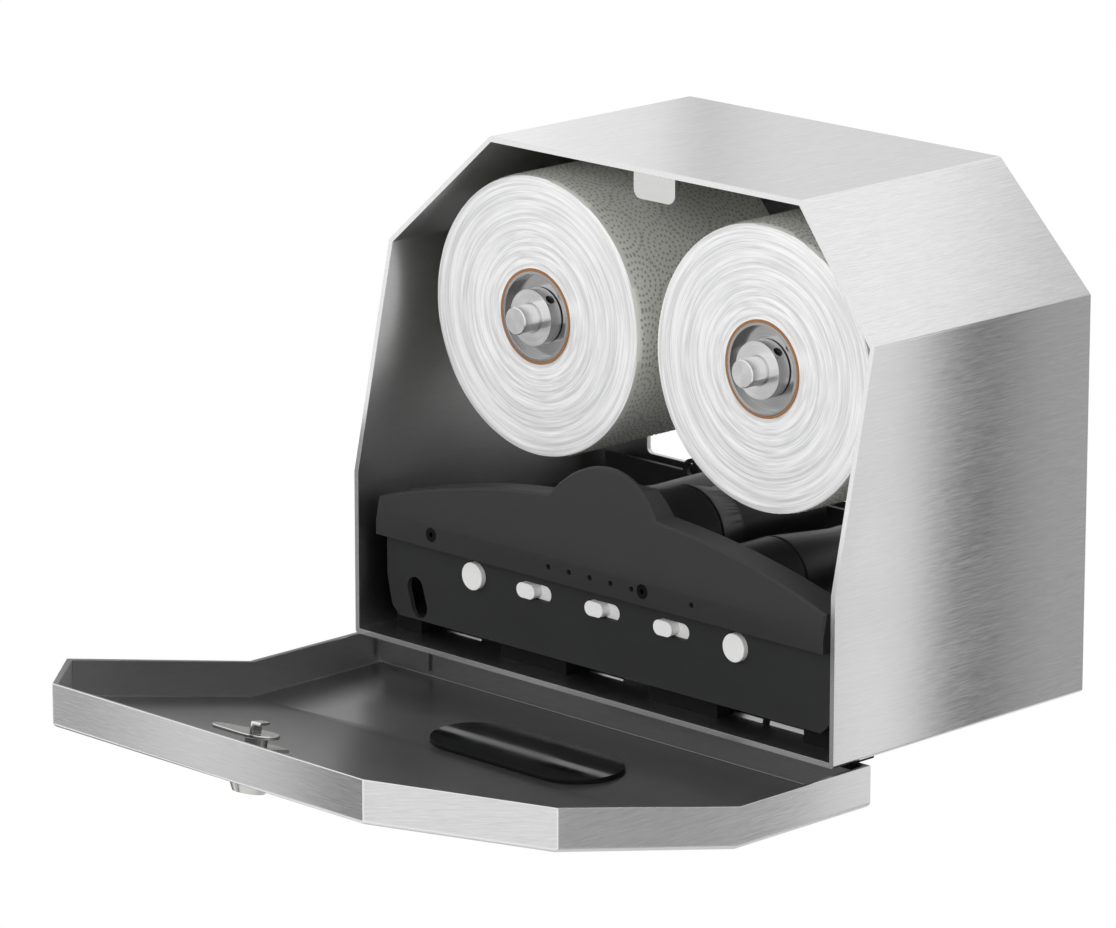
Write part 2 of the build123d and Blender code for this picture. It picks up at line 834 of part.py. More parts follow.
# Guide cup behind the plate that a button slides in
def button_cup(x):
    end = plate_back + button_cup_depth
    inner = button_radius + button_slack
    outer = inner + button_cup_wall
    stem = button_stem_radius + button_slack
    points = [(inner, plate_back), (outer, plate_back), (outer, end), (stem, end)]
    points += [(stem, end - button_cup_wall), (inner, end - button_cup_wall)]
    return turned(points, x, button_height)


def rail_lows():
    upper = slider_height + slider_strip_height / 2 + slider_slack
    lower = slider_height - slider_strip_height / 2 - slider_slack - rail_height
    return [lower, upper]


def retainer_screw_places():
    x = rail_half_length - rail_height
    return [(side * x, low + rail_height / 2) for side in (-1, 1) for low in rail_lows()]


# Bar behind the sliders that holds all three against the plate
def slider_retainer():
    lower, upper = rail_lows()
    back = rail_back + retainer_thickness
    bar_low = (-rail_half_length, rail_back, lower)
    retainer = block(bar_low, (rail_half_length, back, upper + rail_height))
    for x, z in retainer_screw_places():
        retainer -= bar(x, z, retainer_screw_radius, rail_back, back)
    return retainer


def retainer_screws():
    back = rail_back + retainer_thickness
    screws = []
    for x, z in retainer_screw_places():
        screw = bar(x, z, retainer_screw_radius, plate_back, back)
        screw += bar(x, z, retainer_screw_head, back, back + retainer_screw_head_height)
        screws.append(screw)
    return Compound(screws)


# Slider: a strip behind the plate and an oblong thumb knob through the slot
def slider(x):
    slot_left = x - slider_slot_length / 2
    left = slot_left - slider_travel - slider_cover
    right = x + slider_slot_length / 2 + slider_cover
    low = slider_height - slider_strip_height / 2
    strip = block((left, strip_front, low), (right, strip_back, low + slider_strip_height))
    knob_middle = slot_left + slider_slack + slider_knob_length / 2
    knob = oblong(slider_knob_length, slider_slot_width - 2 * slider_slack)
    front = -plate_depth - slider_knob_proud
    return strip + slab(Pos(knob_middle, slider_height) * knob, front, strip_front)


def push_button(x):
    front = -plate_depth - button_proud
    points = [(0, front), (button_radius, front), (button_radius, front + button_length)]
    clip = plate_back + button_cup_depth + button_slack
    end = clip + 2 * button_clip_thickness
    points += [(button_stem_radius, front + button_length), (button_stem_radius, clip)]
    points += [(button_clip_radius, clip), (button_clip_radius, clip + button_clip_thickness)]
    points += [(button_stem_radius, clip + button_clip_thickness), (button_stem_radius, end), (0, end)]
    button = turned(points, x, button_height)
    rim = button.edges().sort_by(Axis.Y)[0]
    return fillet(rim, button_edge_radius)


# Return spring round the button's stem, drawn at the length it has when pressed
def button_spring(x):
    wall = plate_back + button_cup_depth - button_cup_wall
    front = -plate_depth - button_proud + button_length + button_travel
    height = wall - front - 2 * spring_wire_radius
    pitch = height / spring_turns
    path = Helix(pitch, height, spring_radius)
    section = Plane(path @ 0, z_dir=path % 0) * Circle(spring_wire_radius)
    coil = sweep(section, path=path)
    turn = Pos(x, wall - spring_wire_radius, button_height) * Rot(90, 0, 0)
    return turn * coil


def unit_tray():
    back = rear_front
    low = (-cheek_half_width, plate_back, plate_low)
    tray = block(low, (cheek_half_width, back, plate_low + tray_floor))
    for side in (-1, 1):
        tray += cheek(side)
    for left, right in leg_places():
        tray += leg(left, right)
    for x in (-outlet_pitch, 0, outlet_pitch):
        tray -= outlet_cutter(x)
    for x, y in tray_screw_places():
        tray -= Pos(x, y, sheet) * extrude(Circle(screw_radius), amount=plate_low + tray_floor - sheet)
    return tray


# Side wall of the tray, lower at the back
def cheek(side):
    top = plate_low + tray_floor
    points = [(plate_back, top), (plate_back, cheek_height), (rear_front / 2 + plate_back / 2, cheek_height)]
    points += [(rear_front, cheek_height - cheek_drop), (rear_front, top)]
    left = side * cheek_half_width - tray_wall / 2 - side * tray_wall / 2
    return side_slab(points, left, left + tray_wall)


# Legs between the paper outlets, from left to right
def leg_places():
    inner = outlet_width / 2 + leg_gap
    outer = outlet_pitch - outlet_width / 2 - leg_gap
    last = outlet_pitch + outlet_width / 2 + leg_gap
    right = [(inner, outer), (last, cheek_half_width)]
    left = [(-b, -a) for a, b in reversed(right)]
    return left + right


# Hollow leg under the tray, open towards the steel floor, with a post round its screw
def leg(left, right):
    front = plate_back
    back = outlet_front_inset - cabinet_depth + outlet_length
    body = block((left, front, sheet), (right, back, plate_low))
    body -= block((left + leg_wall, front + leg_wall, sheet), (right - leg_wall, back - leg_wall, plate_low))
    middle = (left + right) / 2
    for x, y in tray_screw_places():
        if abs(x - middle) < leg_wall:
            post = Circle(screw_radius + leg_wall)
            body += Pos(x, y, sheet) * extrude(post, amount=plate_low - sheet)
    return body


def tray_screw_places():
    inner = outlet_width / 2 + leg_gap
    outer = outlet_pitch - outlet_width / 2 - leg_gap
    x = (inner + outer) / 2
    front = plate_back + tray_screw_inset
    back = outlet_front_inset - cabinet_depth + outlet_length - tray_screw_inset
    return [(side * x, y) for side in (-1, 1) for y in (front, back)]


# Screws up through the steel floor into the tray's legs
def tray_screws():
    screws = []
    for x, y in tray_screw_places():
        shank = extrude(Circle(screw_radius), amount=plate_low)
        head = extrude(Circle(screw_head_radius), amount=-screw_head_height)
        socket = extrude(RegularPolygon(screw_socket_radius, 6), amount=screw_socket_depth)
        screw = shank + head - Pos(0, 0, -screw_head_height) * socket
        screws.append(Pos(x, y, 0) * screw)
    return Compound(screws)


def unit_rear_panel():
    height = rear_height - sheet
    face = Pos(0, sheet + height / 2) * Rectangle(2 * rear_half_width, height)
    for x in (-ear_reach, ear_reach):
        face += Pos(x, ear_height) * Circle(ear_radius)
        face -= Pos(x, ear_height) * Circle(ear_hole_radius)
    face -= Pos(-rear_pin_hole_reach, rear_pin_hole_height) * Circle(rear_pin_hole_radius)
    panel = slab(face, rear_front, -rear_depth)
    for x, z in roller_places():
        front = rear_front - axle_rear_boss
        panel += bar(x, z, axle_boss_radius, front, rear_front)
        panel -= bar(x, z, axle_radius, front - overrun, front + axle_seat)
    return panel


def roller_axles():
    front = plate_back + axle_front_boss - axle_seat
    back = rear_front - axle_rear_boss + axle_seat
    return Compound([bar(x, z, axle_radius, front, back) for x, z in roller_places()])


# Moulded guide roller: large end in front, a cone, then the small end, hollow at both ends
def guide_roller(x, z, radius, small, step):
    front = plate_back + axle_front_boss + roller_end_gap
    back = rear_front - axle_rear_boss - roller_end_gap
    groove = -roller_groove_at
    deep = radius - roller_groove_depth
    points = [(radius, front), (radius, groove), (deep, groove), (deep, groove + roller_groove)]
    points += [(radius, groove + roller_groove), (small, -step), (small, back)]
    bore = axle_radius + running_gap
    hub = roller_hub_radius
    end = small - roller_hollow_wall
    points += [(end, back), (end, back - roller_hollow_depth), (hub, back - roller_hollow_depth)]
    points += [(hub, back), (bore, back), (bore, front), (hub, front)]
    wide = radius - roller_hollow_wall
    points += [(hub, front + roller_hollow_depth), (wide, front + roller_hollow_depth), (wide, front)]
    return turned(points, x, z)


def all_pieces():
    pieces = {
        "casing_shell": casing_shell(),
        "back_plate": back_plate(),
        "strike_tab": strike_tab(),
        "hinge_pins": hinge_pins(),
        "flange_screws": flange_screws(),
        "collar_set_screws": set_screws(),
        "unit_tray": unit_tray(),
        "unit_front_plate": unit_front_plate(),
        "unit_hood": unit_hood(),
        "unit_rear_panel": unit_rear_panel(),
        "hood_screws": hood_screws(),
        "tray_screws": tray_screws(),
        "slider_retainer": slider_retainer(),
        "retainer_screws": retainer_screws(),
        "roller_axles": roller_axles(),
        "door_panel": door_panel(),
        "viewing_pane": viewing_pane(),
        "lock_housing": lock_housing(),
        "lock_plug": lock_plug(),
        "lock_cam": lock_cam(),
    }
    for name, side in (("left", -1), ("right", 1)):
        pieces[name + "_hinge_cabinet_leaf"] = hinge_fixed_leaf(side * hinge_middle)
        pieces[name + "_hinge_door_leaf"] = hinge_door_leaf(side * hinge_middle)
        pieces[name + "_spindle_flange"] = spindle_flange(side)
        pieces[name + "_spindle_rod"] = spindle_rod(side)
        pieces[name + "_set_collar"] = set_collar(side)
        pieces[name + "_paper_roll"] = paper_roll(side)
        pieces[name + "_roll_core"] = roll_core(side)
        pieces[name + "_roll_hub"] = roll_hub(side)
        pieces[name + "_hub_bushes"] = hub_bushes(side)
        pieces[name + "_button"] = push_button(side * button_reach)
        pieces[name + "_button_spring"] = button_spring(side * button_reach)
        pieces[name + "_guide_roller"] = guide_roller(
            side * side_roller_reach, side_roller_height, side_roller_radius,
            side_roller_small_radius, side_roller_step_depth)
    pieces["middle_guide_roller"] = guide_roller(
        0, middle_roller_height, middle_roller_radius,
        middle_roller_small_radius, middle_roller_step_depth)
    for name, x in zip(("left", "middle", "right"), slider_places()):
        pieces[name + "_slider"] = slider(x)
    return pieces


for name, piece in all_pieces().items():
    export_step(Pos(0, 0, -datum_height) * piece, "parts/" + name + ".step")
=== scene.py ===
import json
import math

import bmesh
import bpy
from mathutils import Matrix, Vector


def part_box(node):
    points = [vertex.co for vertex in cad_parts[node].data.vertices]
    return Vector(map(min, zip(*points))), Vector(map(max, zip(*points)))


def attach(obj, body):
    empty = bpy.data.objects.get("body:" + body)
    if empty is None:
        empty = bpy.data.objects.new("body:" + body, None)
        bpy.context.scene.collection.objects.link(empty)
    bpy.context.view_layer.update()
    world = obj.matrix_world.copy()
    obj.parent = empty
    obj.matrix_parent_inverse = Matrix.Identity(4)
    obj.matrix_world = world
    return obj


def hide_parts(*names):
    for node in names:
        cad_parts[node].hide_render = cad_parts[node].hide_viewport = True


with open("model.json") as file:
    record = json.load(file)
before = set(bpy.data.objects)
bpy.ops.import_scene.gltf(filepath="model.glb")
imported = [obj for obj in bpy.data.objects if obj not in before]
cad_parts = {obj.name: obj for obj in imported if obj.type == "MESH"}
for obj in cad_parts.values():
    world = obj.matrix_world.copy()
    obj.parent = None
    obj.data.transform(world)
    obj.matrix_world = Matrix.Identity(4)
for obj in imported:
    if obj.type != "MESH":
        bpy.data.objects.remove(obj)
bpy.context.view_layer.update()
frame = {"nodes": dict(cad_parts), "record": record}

mm = 0.001
bodyOf = {node: body for body, nodes in frame["record"]["behaviour"]["bodies"].items() for node in nodes}
slotOf = {part["node"]: part["material_slot"] for part in frame["record"]["subparts"]}


# an sRGB hex colour, as it is seen, in the linear values that a shader takes
def hexColour(code):
    channels = [int(code[i:i + 2], 16) / 255 for i in (1, 3, 5)]
    linear = [c / 12.92 if c <= 0.04045 else ((c + 0.055) / 1.055) ** 2.4 for c in channels]
    return (*linear, 1.0)


# sets a node's inputs by name or number: another node's output is linked, anything else is a value
def feed(tree, node, inputs):
    for name, given in inputs.items():
        if isinstance(given, bpy.types.NodeSocket):
            tree.links.new(given, node.inputs[name])
        else:
            node.inputs[name].default_value = given


# adds a node to a shader or geometry tree, with its inputs and its own settings
def addNode(tree, kind, inputs=None, **settings):
    node = tree.nodes.new(kind)
    for name, value in settings.items():
        setattr(node, name, value)
    feed(tree, node, inputs or {})
    return node


# a new object in the scene, with a mesh, a light or a camera as its data
def linked(name, data):
    thing = bpy.data.objects.new(name, data)
    bpy.context.collection.objects.link(thing)
    return thing


def pointed(thing, place, aim):
    thing.location = place
    thing.rotation_euler = (Vector(aim) - thing.location).to_track_quat("-Z", "Y").to_euler()


# adds a table of sums, where each line may use the results above it: the result's name, then a Math
# operation with its two terms, or a rise, which goes from 0 to 1 while a term goes between two numbers
def workOut(tree, known, table):
    for result, operation, first, second in table:
        first, second = known.get(first, first), known.get(second, second)
        if operation == "rise":
            start, end = second
            node = addNode(tree, "ShaderNodeMapRange", {"Value": first, "From Min": start, "From Max": end})
        else:
            node = addNode(tree, "ShaderNodeMath", {0: first, 1: second}, operation=operation)
        known[result] = node.outputs[0]


def newMaterial(name, sockets):
    material = bpy.data.materials.new(name)
    material.use_nodes = True
    tree = material.node_tree
    shader = tree.nodes["Principled BSDF"]
    feed(tree, shader, sockets)
    return material, tree, shader


# an uneven grain, its cells as long as the given millimetres along X, Y and Z, turned round Z by an angle
def grainPattern(tree, cell, detail=2.0, turn=0.0):
    place = addNode(tree, "ShaderNodeTexCoord").outputs["Object"]
    if turn:
        place = addNode(tree, "ShaderNodeMapping", {"Vector": place, "Rotation": (0, 0, turn)}).outputs[0]
    stretched = addNode(tree, "ShaderNodeMapping", {"Vector": place, "Scale": [1 / (c * mm) for c in cell]})
    return addNode(tree, "ShaderNodeTexNoise", {
        "Vector": stretched.outputs[0], "Scale": 1.0, "Detail": detail, "Roughness": 0.6}).outputs[0]


noiseMiddle = (0.3, 0.7)     # nearly all of a noise lies between these values


# one pattern moves the colour between two tones, one the roughness, and one the height in millimetres
def varySurface(tree, shader, tones, rough, relief=None):
    pattern, first, second = tones
    colour = addNode(tree, "ShaderNodeMix", {0: pattern, 6: hexColour(first), 7: hexColour(second)},
                     data_type="RGBA")
    pattern, low, high = rough
    start, end = noiseMiddle
    dullness = addNode(tree, "ShaderNodeMapRange", {
        "Value": pattern, "From Min": start, "From Max": end, "To Min": low, "To Max": high})
    feed(tree, shader, {"Base Color": colour.outputs[2], "Roughness": dullness.outputs[0]})
    if relief:
        pattern, depth, strength = relief
        bump = addNode(tree, "ShaderNodeBump", {
            "Height": pattern, "Distance": depth * mm, "Strength": strength})
        feed(tree, shader, {"Normal": bump.outputs[0]})


# stretches a metal's reflections out across the direction in which it was scratched
def scratchedAlong(tree, shader, direction):
    world = addNode(tree, "ShaderNodeVectorTransform", {0: direction},
                    vector_type="VECTOR", convert_from="OBJECT", convert_to="WORLD")
    feed(tree, shader, {"Tangent": world.outputs[0]})


brushing = {
    "streakSize": 2.6,       # times the size of a scratch
    "streakShare": 0.4,
    "cloudSize": (55, 55, 55),
    "cloudShare": 0.3,
    "strength": 0.5,
}


# stainless sheet, ground with a belt: fine scratches that pull a reflection out across them, and broad
# clouds of shine. A real scratch of about 0.05 mm is too fine to show, so it is drawn 0.3 mm or more wide
def brushedStainless(name, grain, cell, light, dark, rough, depth=0.006, turn=0.0):
    material, tree, shader = newMaterial(name, {
        "Metallic": 1.0, "Anisotropic": 0.6, "Anisotropic Rotation": 0.25})
    scratch = grainPattern(tree, cell, 3.0, turn)
    streak = grainPattern(tree, [brushing["streakSize"] * c for c in cell], 2.0, turn)
    cloud = grainPattern(tree, brushing["cloudSize"], 3.0)
    ground = addNode(tree, "ShaderNodeMix", {0: brushing["streakShare"], 2: scratch, 3: streak}).outputs[0]
    worn = addNode(tree, "ShaderNodeMix", {0: brushing["cloudShare"], 2: ground, 3: cloud}).outputs[0]
    known = {"ground": ground}
    workOut(tree, known, (("shade", "rise", "ground", noiseMiddle),))
    varySurface(tree, shader, (known["shade"], dark, light), (worn, *rough),
                (ground, depth, brushing["strength"]))
    along = addNode(tree, "ShaderNodeCombineXYZ", {0: grain[0], 1: grain[1], 2: grain[2]})
    scratchedAlong(tree, shader, along.outputs[0])
    return material


# place from a roll's axis, the same without its depth, and its length, for patterns that go round
def roundAxis(tree, centre):
    place = addNode(tree, "ShaderNodeTexCoord").outputs["Object"]
    fromAxis = addNode(tree, "ShaderNodeVectorMath", {0: place, 1: (centre[0], 0, centre[1])},
                       operation="SUBTRACT").outputs[0]
    flat = addNode(tree, "ShaderNodeVectorMath", {0: fromAxis, 1: (1, 0, 1)},
                   operation="MULTIPLY").outputs[0]
    radius = addNode(tree, "ShaderNodeVectorMath", {0: flat}, operation="LENGTH").outputs["Value"]
    return fromAxis, flat, radius


# bar steel turned on a lathe: rings round the axis, which fan a highlight out into spokes.
# A real tool leaves rings 0.1 mm apart, too fine to show, so they are drawn 0.5 mm apart
def turnedSteel(name, centre, light, dark, rough, feedPitch=0.5):
    material, tree, shader = newMaterial(name, {
        "Metallic": 1.0, "Anisotropic": 0.75, "Anisotropic Rotation": 0.25})
    fromAxis, flat, radius = roundAxis(tree, centre)
    depth = addNode(tree, "ShaderNodeSeparateXYZ", {0: fromAxis}).outputs[1]
    ring = addNode(tree, "ShaderNodeCombineXYZ", {0: radius, 1: depth}).outputs[0]
    tool = addNode(tree, "ShaderNodeTexNoise", {
        "Vector": ring, "Scale": 1 / (feedPitch * mm), "Detail": 1.0}).outputs[0]
    varySurface(tree, shader, (tool, dark, light), (tool, *rough), (tool, 0.002, 0.3))
    circling = addNode(tree, "ShaderNodeVectorMath", {0: flat, 1: (0, 1, 0)}, operation="CROSS_PRODUCT")
    scratchedAlong(tree, shader, circling.outputs[0])
    return material


# small plated, coated or ground metal parts: even, with a soft cloudiness of 6 mm patches
def smoothMetal(name, first, second, rough):
    material, tree, shader = newMaterial(name, {"Metallic": 1.0})
    cloud = grainPattern(tree, (6, 6, 6), 3.0)
    varySurface(tree, shader, (cloud, first, second), (cloud, *rough), (cloud, 0.02, 0.3))
    return material


# moulded plastic: spark-eroded grain, a soft sheen, and broad slow flow marks.
# Real grain is 0.1 to 0.2 mm, too fine to show, so it is drawn about three times as coarse
def mouldedPlastic(name, first, second, rough, grain, depth, gloss):
    material, tree, shader = newMaterial(name, {"IOR": 1.53, "Specular IOR Level": gloss})
    fine = grainPattern(tree, (grain, grain, grain))
    flow = grainPattern(tree, (30, 30, 18))
    varySurface(tree, shader, (flow, first, second), (fine, *rough), (fine, depth, 0.6))
    return material


# cast acrylic sheet, smoked and polished: near black, with a clear hard reflection
def smokedAcrylic(name):
    material, tree, shader = newMaterial(name, {"IOR": 1.49, "Transmission Weight": 0.3})
    haze = grainPattern(tree, (25, 25, 25))
    varySurface(tree, shader, (haze, "#0E0F10", "#131415"), (haze, 0.05, 0.1))
    return material


paper = {
    "fibre": (0.5, 0.5, 0.5),            # millimetres of a tuft
    "dry": (0.8, 0.95),                  # roughness
    "bands": ((1.7, 0.8), (0.5, 1.9)),   # millimetres of a band of layers, turns of change round it
    "bandMiddle": (0.4, 0.58),           # part of the noise that goes from the darkest layer to the lightest
    "layers": ("#D4D4D5", "#F8F8F8"),
    # the outside is drawn greyer than the cut ends: partly the sheet's own tint, partly painted shade
    "sheet": ("#D2D3CC", "#DCDDD6"),
    # the dots are drawn darker than the sheet: painted shade, as if they were pits
    "pressed": ("#A2A39B", "#ACADA5"),
    "endsFrom": (0.6, 0.8),              # how squarely a face looks along the roll before it is a cut end
    "layerRelief": (0.6, 0.6),           # millimetres, strength
    "tuftRelief": (0.05, 0.4),
}


# two-ply tissue, wound and cut: the cut ends show uneven rings, soft and bright, and the outside is
# the sheet itself, a little greyer, partly its own tint and partly painted shade. A layer of 0.1 mm can't
# show, so bands of many layers stand for them
def rolledTissue(name, centre):
    material, tree, shader = newMaterial(name, {"Specular IOR Level": 0.2, "IOR": 1.5})
    flat, radius = roundAxis(tree, centre)[1:]
    turn = addNode(tree, "ShaderNodeVectorMath", {0: flat}, operation="NORMALIZE").outputs[0]
    parts = addNode(tree, "ShaderNodeSeparateXYZ", {0: turn}).outputs
    spot = addNode(tree, "ShaderNodeCombineXYZ", {0: radius, 1: parts[0], 2: parts[2]}).outputs[0]
    layers = []
    for width, swing in paper["bands"]:
        wound = addNode(tree, "ShaderNodeVectorMath", {0: spot, 1: (1 / (width * mm), swing, swing)},
                        operation="MULTIPLY").outputs[0]
        layers.append(addNode(tree, "ShaderNodeTexNoise", {
            "Vector": wound, "Scale": 1.0, "Detail": 3.0, "Roughness": 0.6}).outputs[0])
    rings = addNode(tree, "ShaderNodeMix", {0: 0.5, 2: layers[0], 3: layers[1]}).outputs[0]
    fibre = grainPattern(tree, paper["fibre"], 3.0)
    normal = addNode(tree, "ShaderNodeTexCoord").outputs["Normal"]
    facing = addNode(tree, "ShaderNodeSeparateXYZ", {0: normal}).outputs[1]
    known = {"rings": rings, "fibre": fibre, "facing": facing}
    workOut(tree, known, (
        ("squarely", "ABSOLUTE", "facing", 0.0),
        ("ends", "rise", "squarely", paper["endsFrom"]),
        ("layer", "rise", "rings", paper["bandMiddle"]),
        ("tuft", "rise", "fibre", noiseMiddle),
        ("ridges", "MULTIPLY", "rings", "ends"),
    ))
    tones = {}
    for part, pattern in (("layers", "layer"), ("sheet", "tuft")):
        first, second = paper[part]
        tones[part] = addNode(tree, "ShaderNodeMix", {
            0: known[pattern], 6: hexColour(first), 7: hexColour(second)}, data_type="RGBA").outputs[2]
    # the outside's greyer tone is partly painted shade
    colour = addNode(tree, "ShaderNodeMix", {0: known["ends"], 6: tones["sheet"], 7: tones["layers"]},
                     data_type="RGBA").outputs[2]
    low, high = paper["dry"]
    dullness = addNode(tree, "ShaderNodeMapRange", {"Value": known["tuft"], "To Min": low, "To Max": high})
    depth, strength = paper["layerRelief"]
    layered = addNode(tree, "ShaderNodeBump", {
        "Height": known["ridges"], "Distance": depth * mm, "Strength": strength})
    depth, strength = paper["tuftRelief"]
    fluffy = addNode(tree, "ShaderNodeBump", {
        "Height": fibre, "Distance": depth * mm, "Strength": strength, "Normal": layered.outputs[0]})
    feed(tree, shader, {"Base Color": colour, "Roughness": dullness.outputs[0], "Normal": fluffy.outputs[0]})
    return material


# the same sheet where the emboss presses its plies together, drawn darker: painted shade, as if each dot
# were a pit in shadow
def pressedTissue(name):
    material, tree, shader = newMaterial(name, {"Specular IOR Level": 0.2, "IOR": 1.5})
    fibre = grainPattern(tree, paper["fibre"], 3.0)
    varySurface(tree, shader, (fibre, *paper["pressed"]), (fibre, *paper["dry"]))
    return material


# spiral-wound board with a brown liner: matt and fibrous
def woundCardboard(name):
    material, tree, shader = newMaterial(name, {"Specular IOR Level": 0.2})
    fibre = grainPattern(tree, (0.6, 2.5, 0.6), 3.0)
    varySurface(tree, shader, (fibre, "#8C6242", "#AE8058"), (fibre, 0.75, 0.95), (fibre, 0.05, 0.6))
    return material


photoCamera = {
    "place": (1.9346, -2.1128, 0.7007),    # metres from the middle of the wall holes
    "aim": (-0.05128, -0.13071, -0.03251),
    "lens": 207.2,                         # millimetres, as the sensor's width
    "sensor": 36.0,
    "farthest": 50.0,                      # metres that it sees
}


def makeCamera(settings):
    camera = linked("photoCamera", bpy.data.cameras.new("photoCamera"))
    pointed(camera, settings["place"], settings["aim"])
    camera.data.lens = settings["lens"]
    camera.data.sensor_width = settings["sensor"]
    camera.data.clip_end = settings["farthest"]
    bpy.context.scene.camera = camera


makeCamera(photoCamera)
bpy.context.scene.view_settings.view_transform = "Standard"
print("camera set")


studio = {
    "floorHeight": -0.62,   # metres
    "floorSize": 40,
    "shadowFrom": 0.4,      # metres round the object from which the floor's shadow fades to white
    "shadowTo": 0.8,
    "worldLight": 0.5,      # strength of the white world on matt surfaces
}

lamps = {                   # place, aim, size in metres, watts
    "keyLamp": ((0.9, -2.3, 0.9), (0, -0.1, 0), 1.2, 25),
    "fillLamp": ((-1.8, -1.6, 0.7), (0, -0.1, 0), 1.6, 8),
    "lowLamp": ((0.5, -2.2, -0.3), (0, -0.1, 0), 1.0, 4),
    "topLamp": ((0.3, 0.2, 1.9), (0, -0.1, 0.1), 1.3, 10),
}

# glowing panels that only gloss sees, like the flags of a photo studio: painted reflections in the metal.
# Each is a corner, two edges, tones along the first
flags = {
    "sideFlag": ((0.48, -0.06, -0.8), (0, 0.92, 0), (0, 0, 1.1), (
        (0.0, "#9E9E9E"), (0.24, "#A8A8A8"), (0.272, "#F2F2F2"), (0.345, "#FFFFFF"), (0.36, "#BCBCBC"),
        (0.366, "#0A0A0A"), (0.404, "#0A0A0A"), (0.428, "#ACACAC"), (0.6, "#ACACAC"))),
    "frontFlag": ((-0.46, -0.66, -0.5), (0.3, 0, 0), (0, 0, 0.42), (
        (0.0, "#9C9C9C"), (0.22, "#ACACAC"), (0.5, "#E4E4E4"), (0.7, "#D2D2D2"),
        (0.86, "#787878"), (1.0, "#5C5C5C"))),
    "leftFlag": ((-0.36, -0.45, -0.45), (0, 0.95, 0), (0, 0, 0.41), (
        (0.0, "#909090"), (1.0, "#909090"))),
    "backFlag": ((0.08, 0.3, 0.2), (0, 0, 0.22), (0.35, 0, 0), (
        (0.0, "#C8C8C8"), (0.6, "#D6D6D6"), (1.0, "#FFFFFF"))),
    "cornerFlag": ((0.48, -1.04, -0.55), (0.36, 0.36, 0), (0, 0, 0.5), (
        (0.0, "#ECECEC"), (1.0, "#ECECEC"))),
    "roofFlag": ((-0.45, 0.26, 0.14), (0, 0.6, 0), (0, 0, 0.4), (
        (0.0, "#F8F8F8"), (0.14, "#F0F0F0"), (0.2, "#CECECE"), (0.3, "#E4E4E4"), (1.0, "#DCDCDC"))),
}


# white to the eye and in every reflection, but only lit like a pale surface for the light it throws
def whiteForView(tree, output, plain, where=None):
    known = {ray.name: ray for ray in addNode(tree, "ShaderNodeLightPath").outputs}
    workOut(tree, known, (
        ("mirrored", "MAXIMUM", "Is Camera Ray", "Is Glossy Ray"),
        ("seen", "MAXIMUM", "mirrored", "Is Transmission Ray"),
        ("seenHere", "MULTIPLY", "seen", where or 1.0),
    ))
    kind = "ShaderNodeEmission" if where else "ShaderNodeBackground"
    white = addNode(tree, kind, {"Color": (1, 1, 1, 1), "Strength": 1.0})
    mixed = addNode(tree, "ShaderNodeMixShader", {0: known["seenHere"], 1: plain, 2: white.outputs[0]})
    feed(tree, output, {"Surface": mixed.outputs[0]})


def makeFloor(settings):
    bpy.ops.mesh.primitive_plane_add(size=settings["floorSize"], location=(0, 0, settings["floorHeight"]))
    floor = bpy.context.object
    floor.name = "paleFloor"
    material, tree, shader = newMaterial("paleFloor", {"Base Color": hexColour("#EDEDED"), "Roughness": 0.9})
    place = addNode(tree, "ShaderNodeTexCoord").outputs["Object"]
    away = addNode(tree, "ShaderNodeVectorMath", {0: place}, operation="LENGTH").outputs["Value"]
    beyond = addNode(tree, "ShaderNodeMapRange", {
        "Value": away, "From Min": settings["shadowFrom"], "From Max": settings["shadowTo"]})
    whiteForView(tree, tree.nodes["Material Output"], shader.outputs[0], beyond.outputs[0])
    floor.data.materials.append(material)


def makeLamp(name, place, aim, size, power):
    lamp = linked(name, bpy.data.lights.new(name, "AREA"))
    pointed(lamp, place, aim)
    lamp.data.size = size
    lamp.data.energy = power
    lamp.visible_glossy = False


def makeFlag(name, corner, along, up, tones):
    corner, along, up = Vector(corner), Vector(along), Vector(up)
    mesh = bpy.data.meshes.new(name)
    mesh.from_pydata([corner, corner + along, corner + along + up, corner + up], [], [(0, 1, 2, 3)])
    layer = mesh.uv_layers.new(name="panel")
    for loop, spot in zip(layer.data, ((0, 0), (1, 0), (1, 1), (0, 1))):
        loop.uv = spot
    flag = linked(name, mesh)
    material = bpy.data.materials.new(name)
    material.use_nodes = True
    tree = material.node_tree
    tree.nodes.clear()
    panel = addNode(tree, "ShaderNodeUVMap", uv_map="panel")
    spot = addNode(tree, "ShaderNodeSeparateXYZ", {0: panel.outputs[0]})
    ramp = addNode(tree, "ShaderNodeValToRGB", {0: spot.outputs[0]})
    stops = ramp.color_ramp.elements
    while len(stops) < len(tones):
        stops.new(0.5)
    for stop, (position, tone) in zip(stops, tones):
        stop.position = position
        stop.color = hexColour(tone)
    glow = addNode(tree, "ShaderNodeEmission", {0: ramp.outputs[0], "Strength": 1.0})
    addNode(tree, "ShaderNodeOutputMaterial", {0: glow.outputs[0]})
    mesh.materials.append(material)
    for kind in ("camera", "diffuse", "transmission", "shadow", "volume_scatter"):
        setattr(flag, "visible_" + kind, False)


def makeStudio(settings):
    world = bpy.data.worlds.new("paleStudio")
    world.use_nodes = True
    bpy.context.scene.world = world
    tree = world.node_tree
    plain = tree.nodes["Background"]
    feed(tree, plain, {"Color": (1, 1, 1, 1), "Strength": settings["worldLight"]})
    whiteForView(tree, tree.nodes["World Output"], plain.outputs[0])
    makeFloor(settings)
    for name, lamp in lamps.items():
        makeLamp(name, *lamp)
    for name, flag in flags.items():
        makeFlag(name, *flag)


makeStudio(studio)
print("floor, lamps and flags set")


# a plain mesh of a piece with its modifiers worked in
def settled(piece):
    made = bpy.data.meshes.new_from_object(piece.evaluated_get(bpy.context.evaluated_depsgraph_get()))
    piece.modifiers.clear()
    piece.data = made
    return made


# puts materials on a piece
def finish(thing, looks):
    thing.data.materials.clear()
    for look in looks:
        thing.data.materials.append(look)


